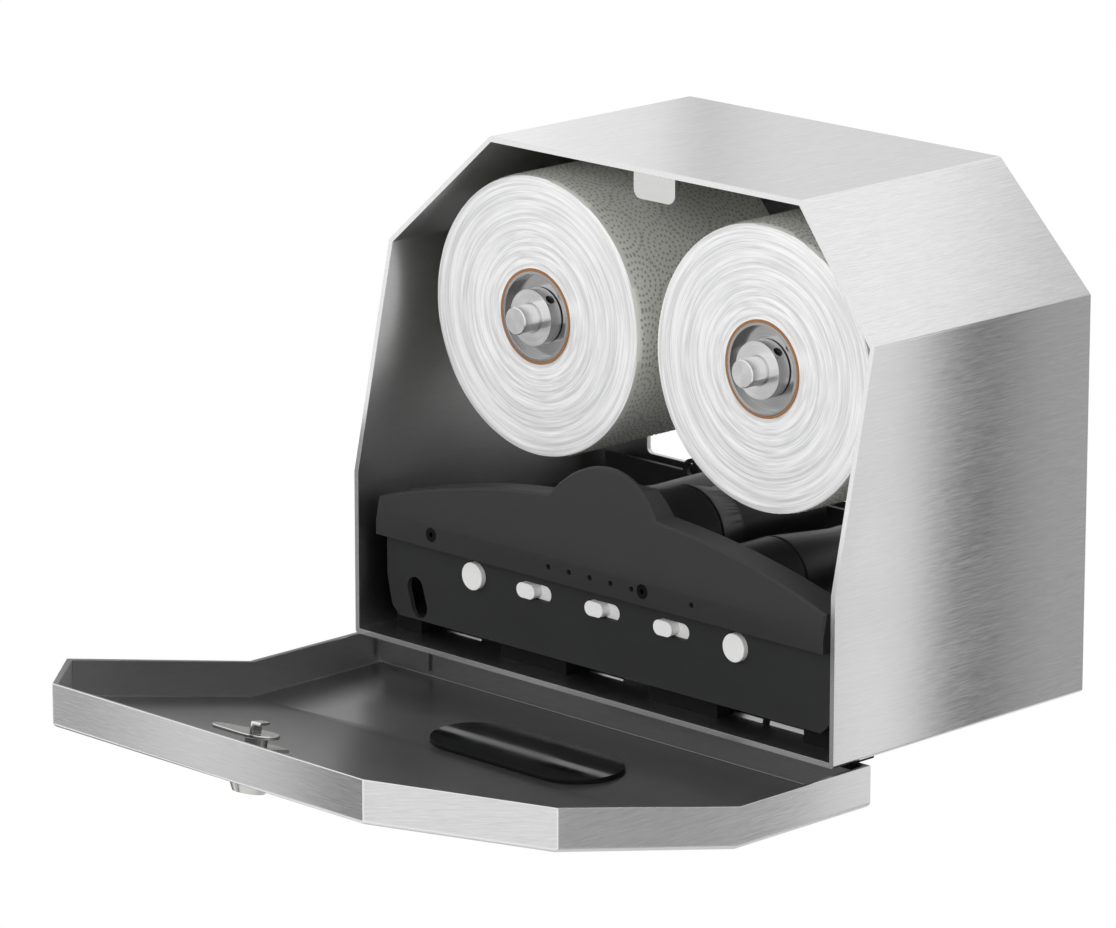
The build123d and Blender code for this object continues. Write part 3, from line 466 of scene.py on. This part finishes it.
# the axis that a roll turns round, its X and Z in metres
def rollAxis(side):
    low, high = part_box(side + "_paper_roll")
    return (low.x + high.x) / 2, (low.z + high.z) / 2


axisOf = {side: rollAxis(side) for side in ("left", "right")}

# ways that steel is brushed, a little off the axes, so that no face looks straight along one
alongDepth = (0.02, 1, 0.03)
alongWidth = (1, 0.02, 0.03)
upright = (0.02, 0.03, 1)
steelTones = {"light": "#F2F2F2", "dark": "#DCDCDC", "rough": (0.14, 0.23)}
insideTones = {"light": "#D8D8D8", "dark": "#CECECE", "rough": (0.3, 0.38), "depth": 0.001}
# the door's inside is drawn far darker than the same sheet elsewhere: painted shade inside the door's tray
doorShadeTones = {"light": "#8E8E8E", "dark": "#848484", "rough": (0.29, 0.36), "depth": 0.001}
tabTones = {"light": "#E8E8E7", "dark": "#DCDCDB", "rough": (0.24, 0.34)}
lipTones = {"light": "#CECECD", "dark": "#C0C0BF", "rough": (0.29, 0.34)}
halfCorner = math.pi / 4                      # the door's front corners are cut at 45 degrees

# brushed sheet is bright with soft streaks, mill finish is an even pale grey, darker inside the door as
# painted shade, and a ground edge glints
stainlessCasing = brushedStainless("stainlessSheetBrushedLengthwise", alongDepth, (0.3, 7, 0.3),
                                   **steelTones)
stainlessInside = brushedStainless("stainlessSheetMillFinish", alongDepth, (0.6, 5, 0.6), **insideTones)
stainlessPlate = brushedStainless("stainlessSheetMillFinishUpright", upright, (0.5, 0.5, 9), **insideTones)
stainlessDoor = brushedStainless("stainlessSheetBrushedAcross", alongWidth, (7, 0.3, 0.3), **steelTones)
stainlessDoorEnd = brushedStainless("stainlessSheetBrushedAlongFold", alongDepth, (0.3, 7, 0.3),
                                    **steelTones)
stainlessCornerLeft = brushedStainless("stainlessSheetBrushedCornerLeft", (1, -1, 0.03), (7, 0.3, 0.3),
                                       turn=halfCorner, **steelTones)
stainlessCornerRight = brushedStainless("stainlessSheetBrushedCornerRight", (1, 1, 0.03), (7, 0.3, 0.3),
                                        turn=-halfCorner, **steelTones)
stainlessDoorInsideShaded = brushedStainless("stainlessDoorMillFinishPaintedShade", alongWidth, (5, 0.6, 0.6), **doorShadeTones)
stainlessTab = brushedStainless("stainlessTabGround", alongWidth, (9, 0.4, 0.4), **tabTones)
stainlessLip = brushedStainless("stainlessLipGround", alongWidth, (9, 0.4, 0.4), **lipTones)
# turned bar and hub: a fan of light that goes round with the eye
turned = {side: turnedSteel(side + "StainlessBarTurned", axis, "#F2F2F2", "#E8E8E8", (0.2, 0.26))
          for side, axis in axisOf.items()}
turnedHub = {side: turnedSteel(side + "SteelHubTurned", axis, "#CACACA", "#BCBCBC", (0.14, 0.2))
             for side, axis in axisOf.items()}
# ground bar: an even grey shine
groundAxle = smoothMetal("axleSteelGround", "#8C8C8D", "#A9A9AA", (0.22, 0.32))
# bearing bronze, turned: dull brown gold
plainBronze = smoothMetal("bronzeBushTurned", "#7B6236", "#95794A", (0.3, 0.42))
# zinc casting, nickel plated: warm satin silver
nickelPlate = smoothMetal("zincCastNickelPlated", "#C6C5C2", "#D6D5D2", (0.16, 0.24))
# stamped steel, nickel plated: the same plate, smoother, and drawn brighter than the housing as painted
# light on the cam
camPlatePaintedLight = smoothMetal("camSteelNickelPlatedPaintedLight", "#E4E4E2", "#EEEEEC", (0.14, 0.2))
# drawn spring wire: grey with a soft gleam
springWire = smoothMetal("springWireDrawn", "#8E8C88", "#A6A4A0", (0.28, 0.36))
# steel, black zinc coat: near black, satin
blackCoat = smoothMetal("steelBlackZinc", "#1E1E1F", "#262627", (0.38, 0.5))
# screw steel, black oxide: near black with a faint shine
blackOxide = smoothMetal("screwSteelBlackOxide", "#1F1F20", "#2B2B2C", (0.35, 0.48))
# moulded ABS with an eroded grain: charcoal for the covers, a touch lighter on the hood as painted light
# from above, blacker for the base, white for what is pushed
charcoalAbs = mouldedPlastic("absMouldedCharcoal", "#272728", "#2C2D2D", (0.5, 0.62), 0.45, 0.02, 0.3)
hoodAbsPaintedLight = mouldedPlastic("absMouldedCharcoalLidPaintedLight", "#282829", "#2D2D2E", (0.5, 0.62), 0.45, 0.02, 0.35)
trayAbs = mouldedPlastic("absMouldedBlackBase", "#0A0A0B", "#0D0D0E", (0.55, 0.68), 0.45, 0.02, 0.12)
whiteAbs = mouldedPlastic("absMouldedWhite", "#F6F6F5", "#FCFCFB", (0.34, 0.46), 0.5, 0.012, 0.5)
# moulded acetal: smoother than ABS, so the rollers gleam softly
blackAcetal = mouldedPlastic("acetalMouldedBlack", "#1C1C1D", "#222223", (0.34, 0.46), 0.6, 0.015, 0.4)
smoked = smokedAcrylic("acrylicCastSmoked")
# the acrylic where it was sawn: as dark, but dull
sawnEdge = mouldedPlastic("acrylicSawnEdge", "#0B0B0C", "#0F0F10", (0.5, 0.65), 0.45, 0.01, 0.15)
# the dots' sheet, darker as painted shade
pressed = pressedTissue("tissuePressedDotsPaintedShade")
tissue = {side: rolledTissue(side + "TissueTwoPly", axis) for side, axis in axisOf.items()}
board = woundCardboard("coreBoardSpiralWound")
print("materials made")


# the wound rolls: a body of uneven layers, and a pattern of rings of small dots all round the outside
tissueRoll = {
    "around": 300,               # points round the roll
    "along": 150,                # points along its profile
    "faceRows": (0.0, 0.42),     # shares of the profile up the front face,
    "sideRows": (0.42, 0.52),    # along the outside,
    "rearRows": (0.52, 0.94),    # down the back face
    "boreRows": (0.94, 1.0),     # and along the bore
    "boreEdge": (0.0, 0.02),     # share of the way out over which the bands begin
    "joined": 0.004,             # millimetres, as all lengths here, between points that are one
    "coreSlack": 0.1,            # between the bore and the core
    "bandWidth": 3.2,            # of radius that stand out or back together
    "bandDepth": 0.6,
    "bandMiddle": (0.35, 0.65),  # part of the noise that goes from proud to sunk
    "edgeRound": 1.2,
    "edgeDrop": 0.6,             # share of the edge's rounding that the faces drop by
    "ringPitch": 3.1,            # from one ring of dots to the next
    "ringCount": 4,
    "dotPitch": 2.3,
    "dotRadius": 0.8,            # the dots are coarser than real ones, so that they show
    "dotHeight": 0.3,
    "dotCorners": 5,
    "dotTaper": 0.45,            # share of a dot's radius at its top
    "endMargin": 2.5,            # dot radii that stay bare at each end
    "motifsRound": 16,           # ring patterns round the roll
    "motifRows": 5,
    "rowShare": 0.866,           # from row to row, for a pattern that packs like a honeycomb
    "seedStep": 3.0,             # what sets the second roll's layers apart from the first one's
    "crisp": 50,                 # degrees of a corner that stays sharp
}


# a roll's axis, ends and radii in metres, from the solids that it stands for
def rollSizes(side, settings):
    low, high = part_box(side + "_paper_roll")
    coreLow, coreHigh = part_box(side + "_roll_core")
    across, upwards = axisOf[side]
    return {
        "Axis X": across, "Axis Z": upwards, "Front": low.y, "Back": high.y,
        "Outer Radius": (high.x - low.x) / 2 - settings["dotHeight"] * mm,
        "Inner Radius": (coreHigh.x - coreLow.x) / 2 + settings["coreSlack"] * mm,
    }


# the tree that winds a roll: its body, the dots round it, and a material on each
def rollTree(settings):
    tree = bpy.data.node_groups.new("woundTissueRoll", "GeometryNodeTree")
    for label in ("Outer Radius", "Inner Radius", "Front", "Back", "Axis X", "Axis Z", "Band Width",
                  "Band Depth", "Edge Round", "Ring Pitch", "Dot Radius", "Dot Height", "Seed"):
        tree.interface.new_socket(label, in_out="INPUT", socket_type="NodeSocketFloat")
    for label in ("Paper", "Pressed"):
        tree.interface.new_socket(label, in_out="INPUT", socket_type="NodeSocketMaterial")
    tree.interface.new_socket("Mesh", in_out="OUTPUT", socket_type="NodeSocketGeometry")
    known = {socket.name: socket for socket in addNode(tree, "NodeGroupInput").outputs}

    # a grid bent round: its columns go round the axis, its rows run along the profile
    grid = addNode(tree, "GeometryNodeMeshGrid", {
        "Size X": 1.0, "Size Y": 1.0, "Vertices X": settings["around"] + 1, "Vertices Y": settings["along"]})
    place = addNode(tree, "GeometryNodeInputPosition").outputs[0]
    spot = addNode(tree, "ShaderNodeSeparateXYZ", {0: place}).outputs
    known.update({"column": spot[0], "row": spot[1]})
    workOut(tree, known, (
        ("turn", "ADD", "column", 0.5),
        ("angle", "MULTIPLY", "turn", 2 * math.pi),
        ("sine", "SINE", "angle", 0.0),
        ("cosine", "COSINE", "angle", 0.0),
        ("profile", "ADD", "row", 0.5),
        ("out", "rise", "profile", settings["faceRows"]),
        ("in", "rise", "profile", settings["rearRows"]),
        ("there", "rise", "profile", settings["sideRows"]),
        ("home", "rise", "profile", settings["boreRows"]),
        ("outward", "SUBTRACT", "out", "in"),
        ("backward", "SUBTRACT", "there", "home"),
        ("wall", "SUBTRACT", "Outer Radius", "Inner Radius"),
        ("climb", "MULTIPLY", "wall", "outward"),
        ("radius", "ADD", "Inner Radius", "climb"),
        ("length", "SUBTRACT", "Back", "Front"),
        ("run", "MULTIPLY", "length", "backward"),
        ("depth", "ADD", "Front", "run"),
        ("layer", "DIVIDE", "radius", "Band Width"),
        ("drift", "ADD", "sine", "Seed"),
    ))

    # bands of layers stand out or back on both faces, and their rims are rounded
    swirl = addNode(tree, "ShaderNodeCombineXYZ", {0: known["layer"], 1: known["drift"], 2: known["cosine"]})
    bands = addNode(tree, "ShaderNodeTexNoise", {"Vector": swirl.outputs[0], "Scale": 1.0, "Detail": 2.0})
    known["bands"] = bands.outputs[0]
    workOut(tree, known, (
        ("band", "rise", "bands", settings["bandMiddle"]),
        ("sunk", "MULTIPLY", "band", "Band Depth"),
        ("rimStart", "SUBTRACT", "Outer Radius", "Edge Round"),
        ("pastStart", "SUBTRACT", "radius", "rimStart"),
        ("intoRim", "DIVIDE", "pastStart", "Edge Round"),
        ("onRim", "MAXIMUM", "intoRim", 0.0),
        ("curve", "POWER", "onRim", 2.0),
        ("rounding", "MULTIPLY", "curve", "Edge Round"),
        ("drop", "MULTIPLY", "rounding", settings["edgeDrop"]),
        ("inset", "ADD", "sunk", "drop"),
        ("offBore", "rise", "outward", settings["boreEdge"]),
        ("insetHere", "MULTIPLY", "inset", "offBore"),
        ("twice", "MULTIPLY", "backward", 2.0),
        ("inwards", "SUBTRACT", 1.0, "twice"),
        ("push", "MULTIPLY", "insetHere", "inwards"),
        ("y", "ADD", "depth", "push"),
        ("aside", "MULTIPLY", "radius", "sine"),
        ("x", "ADD", "Axis X", "aside"),
        ("above", "MULTIPLY", "radius", "cosine"),
        ("z", "ADD", "Axis Z", "above"),
    ))
    bent = addNode(tree, "ShaderNodeCombineXYZ", {0: known["x"], 1: known["y"], 2: known["z"]})
    body = addNode(tree, "GeometryNodeSetPosition", {
        "Geometry": grid.outputs[0], "Position": bent.outputs[0]})
    closed = addNode(tree, "GeometryNodeMergeByDistance", {
        "Geometry": body.outputs[0], "Distance": settings["joined"] * mm})

    # one ring pattern, drawn flat: small dots on rings round each other
    workOut(tree, known, (
        ("dotTop", "MULTIPLY", "Dot Radius", settings["dotTaper"]),
        ("girth", "MULTIPLY", "Outer Radius", 2 * math.pi),
        ("pitch", "DIVIDE", "girth", float(settings["motifsRound"])),
        ("halfPitch", "MULTIPLY", "pitch", 0.5),
        ("rowPitch", "MULTIPLY", "pitch", settings["rowShare"]),
    ))
    dot = addNode(tree, "GeometryNodeMeshCone", {
        "Vertices": settings["dotCorners"], "Radius Bottom": known["Dot Radius"],
        "Radius Top": known["dotTop"], "Depth": known["Dot Height"]}, fill_type="NGON")
    motif = addNode(tree, "GeometryNodeJoinGeometry")
    for ring in range(1, settings["ringCount"] + 1):
        count = round(2 * math.pi * ring * settings["ringPitch"] / settings["dotPitch"])
        workOut(tree, known, (("ringRadius", "MULTIPLY", "Ring Pitch", float(ring)),))
        circle = addNode(tree, "GeometryNodeMeshCircle", {"Vertices": count, "Radius": known["ringRadius"]})
        feed(tree, motif, {0: circle.outputs[0]})
    dots = addNode(tree, "GeometryNodeInstanceOnPoints", {
        "Points": motif.outputs[0], "Instance": dot.outputs[0]})

    # that pattern in staggered rows over the unrolled outside
    places = addNode(tree, "GeometryNodeMeshGrid", {
        "Size X": 1.0, "Size Y": 1.0, "Vertices X": settings["motifsRound"] + 1,
        "Vertices Y": settings["motifRows"]})
    place = addNode(tree, "GeometryNodeInputPosition").outputs[0]
    spot = addNode(tree, "ShaderNodeSeparateXYZ", {0: place}).outputs
    known.update({"motifColumn": spot[0], "motifRow": spot[1]})
    lastRow = settings["motifRows"] - 1
    workOut(tree, known, (
        ("rowUp", "ADD", "motifRow", 0.5),
        ("rowPlace", "MULTIPLY", "rowUp", float(lastRow)),
        ("rowNumber", "ROUND", "rowPlace", 0.0),
        ("odd", "MODULO", "rowNumber", 2.0),
        ("stagger", "MULTIPLY", "odd", "halfPitch"),
        ("around", "MULTIPLY", "motifColumn", "girth"),
        ("motifAround", "ADD", "around", "stagger"),
        ("fromMiddle", "SUBTRACT", "rowNumber", lastRow / 2),
        ("motifAlong", "MULTIPLY", "fromMiddle", "rowPitch"),
    ))
    spread = addNode(tree, "ShaderNodeCombineXYZ", {0: known["motifAround"], 1: known["motifAlong"]})
    rows = addNode(tree, "GeometryNodeSetPosition", {
        "Geometry": places.outputs[0], "Position": spread.outputs[0]})
    motifs = addNode(tree, "GeometryNodeInstanceOnPoints", {
        "Points": rows.outputs[0], "Instance": dots.outputs[0]})
    flat = addNode(tree, "GeometryNodeRealizeInstances", {"Geometry": motifs.outputs[0]})

    # the pattern trimmed to the sheet and wrapped round the outside
    place = addNode(tree, "GeometryNodeInputPosition").outputs[0]
    spot = addNode(tree, "ShaderNodeSeparateXYZ", {0: place}).outputs
    known.update({"dotAround": spot[0], "dotAlong": spot[1], "dotUp": spot[2]})
    workOut(tree, known, (
        ("halfLength", "MULTIPLY", "length", 0.5),
        ("margin", "MULTIPLY", "Dot Radius", settings["endMargin"]),
        ("reach", "SUBTRACT", "halfLength", "margin"),
        ("fromMiddle", "ABSOLUTE", "dotAlong", 0.0),
        ("beyond", "GREATER_THAN", "fromMiddle", "reach"),
        ("wrap", "DIVIDE", "dotAround", "Outer Radius"),
        ("tooFar", "GREATER_THAN", "wrap", math.pi),
        ("tooNear", "LESS_THAN", "wrap", -math.pi),
        ("past", "MAXIMUM", "tooFar", "tooNear"),
        ("dropped", "MAXIMUM", "beyond", "past"),
        ("lift", "ADD", "Outer Radius", "dotUp"),
        ("sine", "SINE", "wrap", 0.0),
        ("cosine", "COSINE", "wrap", 0.0),
        ("aside", "MULTIPLY", "lift", "sine"),
        ("x", "ADD", "Axis X", "aside"),
        ("middle", "ADD", "Front", "halfLength"),
        ("y", "ADD", "middle", "dotAlong"),
        ("above", "MULTIPLY", "lift", "cosine"),
        ("z", "ADD", "Axis Z", "above"),
    ))
    kept = addNode(tree, "GeometryNodeDeleteGeometry", {
        "Geometry": flat.outputs[0], "Selection": known["dropped"]}, domain="FACE")
    bent = addNode(tree, "ShaderNodeCombineXYZ", {0: known["x"], 1: known["y"], 2: known["z"]})
    wrapped = addNode(tree, "GeometryNodeSetPosition", {
        "Geometry": kept.outputs[0], "Position": bent.outputs[0]})

    whole = addNode(tree, "GeometryNodeJoinGeometry")
    for part, label in ((wrapped, "Pressed"), (closed, "Paper")):
        coated = addNode(tree, "GeometryNodeSetMaterial", {
            "Geometry": part.outputs[0], "Material": known[label]})
        feed(tree, whole, {0: coated.outputs[0]})
    real = addNode(tree, "GeometryNodeRealizeInstances", {"Geometry": whole.outputs[0]})
    addNode(tree, "NodeGroupOutput", {0: real.outputs[0]})
    return tree


# a new object with a geometry tree on it, its inputs set, made into a plain mesh
def grown(name, tree, inputs):
    piece = linked(name, bpy.data.meshes.new(name))
    modifier = piece.modifiers.new(name, "NODES")
    modifier.node_group = tree
    for socket in tree.interface.items_tree:
        if socket.in_out == "INPUT":
            modifier[socket.identifier] = inputs[socket.name]
    settled(piece).name = name
    return piece


def makeRolls(settings):
    tree = rollTree(settings)
    for number, side in enumerate(("left", "right")):
        piece = grown(side + "TissueRoll", tree, {
            **rollSizes(side, settings),
            "Band Width": settings["bandWidth"] * mm, "Band Depth": settings["bandDepth"] * mm,
            "Edge Round": settings["edgeRound"] * mm, "Ring Pitch": settings["ringPitch"] * mm,
            "Dot Radius": settings["dotRadius"] * mm, "Dot Height": settings["dotHeight"] * mm,
            "Seed": settings["seedStep"] * number, "Paper": tissue[side], "Pressed": pressed})
        for polygon in piece.data.polygons:
            polygon.use_smooth = True
        piece.data.set_sharp_from_angle(angle=math.radians(settings["crisp"]))
        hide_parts(side + "_paper_roll")
        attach(piece, bodyOf[side + "_paper_roll"])
        print(side, "roll wound,", len(piece.data.polygons), "faces")


makeRolls(tissueRoll)


# bright lips along the front of the paper outlets, leaning back so that the paper runs over them
outletLip = {
    "sheet": 2.5,                # millimetres of the casing's floor, which the lips stand on
    "lean": 0.28,                # millimetres back for each one up
    "thickness": 0.6,
    "rounding": 0.2,
    "strips": (                  # left end, right end, front, height
        (-115.5, -92.5, -139.2, 0.9),
        (-22.5, -1.5, -139.2, 0.9),
        (69.0, 87.0, -142.0, 1.9),
        (91.0, 119.0, -141.6, 1.9)),
}


def makeLips(settings):
    work = bmesh.new()
    bend, thick = settings["rounding"], settings["thickness"]
    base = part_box("casing_shell")[0].z / mm + settings["sheet"]
    for left, right, front, height in settings["strips"]:
        lean, top = settings["lean"] * height, base + height
        outline = [(front, base), (front + lean, top - bend)]
        for turn in (math.radians(45), math.radians(90)):
            outline.append((front + lean + bend * (1 - math.cos(turn)), top - bend + bend * math.sin(turn)))
        outline += [(front + lean + thick, top), (front + lean + thick, base)]
        ends = [[work.verts.new((x * mm, y * mm, z * mm)) for y, z in outline] for x in (left, right)]
        for here in range(len(outline)):
            there = (here + 1) % len(outline)
            work.faces.new((ends[0][here], ends[0][there], ends[1][there], ends[1][here]))
        for ring in ends:
            work.faces.new(ring)
    bmesh.ops.recalc_face_normals(work, faces=work.faces)
    mesh = bpy.data.meshes.new("outletLips")
    work.to_mesh(mesh)
    work.free()
    lips = linked("outletLips", mesh)
    finish(lips, [stainlessLip])
    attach(lips, "cabinet")


makeLips(outletLip)
print("outlet lips made")


softEdge = {                     # millimetres of the rounding that a piece's edges get
    "casing_shell": 0.35, "door_panel": 0.4, "back_plate": 0.25, "strike_tab": 0.35,
    "unit_hood": 0.5, "unit_front_plate": 0.4, "unit_tray": 0.35, "unit_rear_panel": 0.35,
    "left_slider": 0.5, "middle_slider": 0.5, "right_slider": 0.5,
    "left_guide_roller": 0.4, "middle_guide_roller": 0.4, "right_guide_roller": 0.4,
    "lock_housing": 0.3, "lock_cam": 0.3, "lock_plug": 0.2, "viewing_pane": 0.3,
    "left_set_collar": 0.2, "right_set_collar": 0.2, "left_roll_hub": 0.2, "right_roll_hub": 0.2,
}

edgeWork = {
    "joined": 0.002,             # millimetres between points that are one
    "level": 0.4,                # degrees between faces that are one
    "rounded": 32,               # degrees of a corner that gets a rounding
    "segments": 2,               # steps of that rounding
    "crisp": 38,                 # degrees of a corner that the shading keeps sharp,
    "crispOf": {"door_panel": 9},     # and of the door's, whose folds are shallow
}


# a copy of a CAD node with its triangles joined and its edges rounded, which stands for it
def softened(node, settings):
    mesh = frame["nodes"][node].data.copy()
    mesh.name = node + "Soft"
    work = bmesh.new()
    work.from_mesh(mesh)
    bmesh.ops.remove_doubles(work, verts=work.verts, dist=settings["joined"] * mm)
    bmesh.ops.dissolve_limit(work, angle_limit=math.radians(settings["level"]),
                             verts=work.verts, edges=work.edges)
    for face in work.faces:
        face.smooth = True
    work.to_mesh(mesh)
    work.free()
    piece = linked(node + "Soft", mesh)
    bevel = piece.modifiers.new("softEdges", "BEVEL")
    bevel.width = softEdge[node] * mm
    bevel.segments = settings["segments"]
    bevel.limit_method = "ANGLE"
    bevel.angle_limit = math.radians(settings["rounded"])
    crisp = settings["crispOf"].get(node, settings["crisp"])
    settled(piece).set_sharp_from_angle(angle=math.radians(crisp))
    piece.modifiers.new("flatFaces", "WEIGHTED_NORMAL").keep_sharp = True
    settled(piece)
    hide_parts(node)
    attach(piece, bodyOf[node])
    return piece


sheetSides = {
    "casingMiddle": (0, -0.08, -0.01),    # metres
    "doorMiddle": (0, -0.27, -0.09),
    "inside": 0.004,             # metres that an inside looks towards the middle
    "below": -0.5,               # a face that looks down more than this is on the door's outside,
    "end": 0.8,                  # one that looks sideways more than this is on its end,
    "endInside": 0.5,            # or on the inside of it,
    "corner": 0.3,               # and one that looks both ways more than this is on a cut corner
    "squarely": 0.97,            # a cut edge looks along an axis more than this,
    "cutEdge": 2.0,              # and is narrower than these millimetres
}


# the folded sheets are brushed on their outside only, and their cut edges are ground as bright
def casingSide(centre, normal):
    towards = Vector(sheetSides["casingMiddle"]) - centre
    inside = towards.x * normal.x + towards.z * normal.z > sheetSides["inside"]
    return stainlessInside if inside else stainlessCasing


def doorSide(centre, normal):
    towards = Vector(sheetSides["doorMiddle"]) - centre
    if normal.dot(towards) > sheetSides["inside"] and normal.z > sheetSides["below"]:
        # the door's floor and slopes inside get the dark copy, which is painted shade
        return stainlessInside if abs(normal.x) > sheetSides["endInside"] else stainlessDoorInsideShaded
    if abs(normal.x) > sheetSides["corner"] and abs(normal.y) > sheetSides["corner"]:
        return stainlessCornerLeft if normal.x < 0 else stainlessCornerRight
    return stainlessDoorEnd if abs(normal.x) > sheetSides["end"] else stainlessDoor


# the pane is polished on its two broad faces and sawn round its edge
def paneSide(centre, normal):
    return smoked if abs(normal.z) > sheetSides["squarely"] else sawnEdge


def isCutEdge(mesh, polygon):
    corners = [mesh.vertices[index].co for index in polygon.vertices]
    length = max((corner - corners[0]).length for corner in corners)
    square = max(abs(part) for part in polygon.normal) > sheetSides["squarely"]
    return square and polygon.area < sheetSides["cutEdge"] * mm * length


# pieces with several finishes: their materials, how a face gets one, and whether cut edges shine
mixedFinish = {
    "casing_shell": ([stainlessCasing, stainlessInside], casingSide, True),
    "door_panel": ([stainlessDoor, stainlessInside, stainlessDoorEnd, stainlessDoorInsideShaded,
                    stainlessCornerLeft, stainlessCornerRight], doorSide, True),
    "viewing_pane": ([smoked, sawnEdge], paneSide, False),
}

lookOf = {
    "brushed_steel": stainlessCasing, "steel_sheet": stainlessPlate, "axle_steel": groundAxle,
    "bronze": plainBronze, "plated_steel": nickelPlate, "black_steel": blackCoat, "black_screws": blackOxide,
    "black_plastic": charcoalAbs, "roller_plastic": blackAcetal, "white_plastic": whiteAbs,
    "spring_steel": springWire, "cardboard": board,
}
ownLook = {
    "strike_tab": stainlessTab, "lock_cam": camPlatePaintedLight, "unit_hood": hoodAbsPaintedLight, "unit_tray": trayAbs,
    "left_hinge_door_leaf": stainlessDoorInsideShaded, "right_hinge_door_leaf": stainlessDoorInsideShaded,
    **{side + "_roll_hub": hub for side, hub in turnedHub.items()},
    **{side + part: bar for side, bar in turned.items()
       for part in ("_spindle_rod", "_set_collar", "_spindle_flange")},
}


# a cut edge that shines gets the first of the materials
def dressFaces(mesh, looks, pick, shining):
    for polygon in mesh.polygons:
        bright = shining and isCutEdge(mesh, polygon)
        look = looks[0] if bright else pick(polygon.center, polygon.normal)
        polygon.material_index = looks.index(look)


for node, thing in frame["nodes"].items():
    slot = slotOf[node]
    if slot == "tissue":
        continue
    look = ownLook[node] if node in ownLook else lookOf.get(slot)
    if node in softEdge:
        piece = softened(node, edgeWork)
        looks, pick, shining = mixedFinish.get(node, ([look], None, False))
        finish(piece, looks)
        if pick:
            dressFaces(piece.data, looks, pick, shining)
    else:
        finish(thing, [look])
print("materials on", len(frame["nodes"]), "nodes")
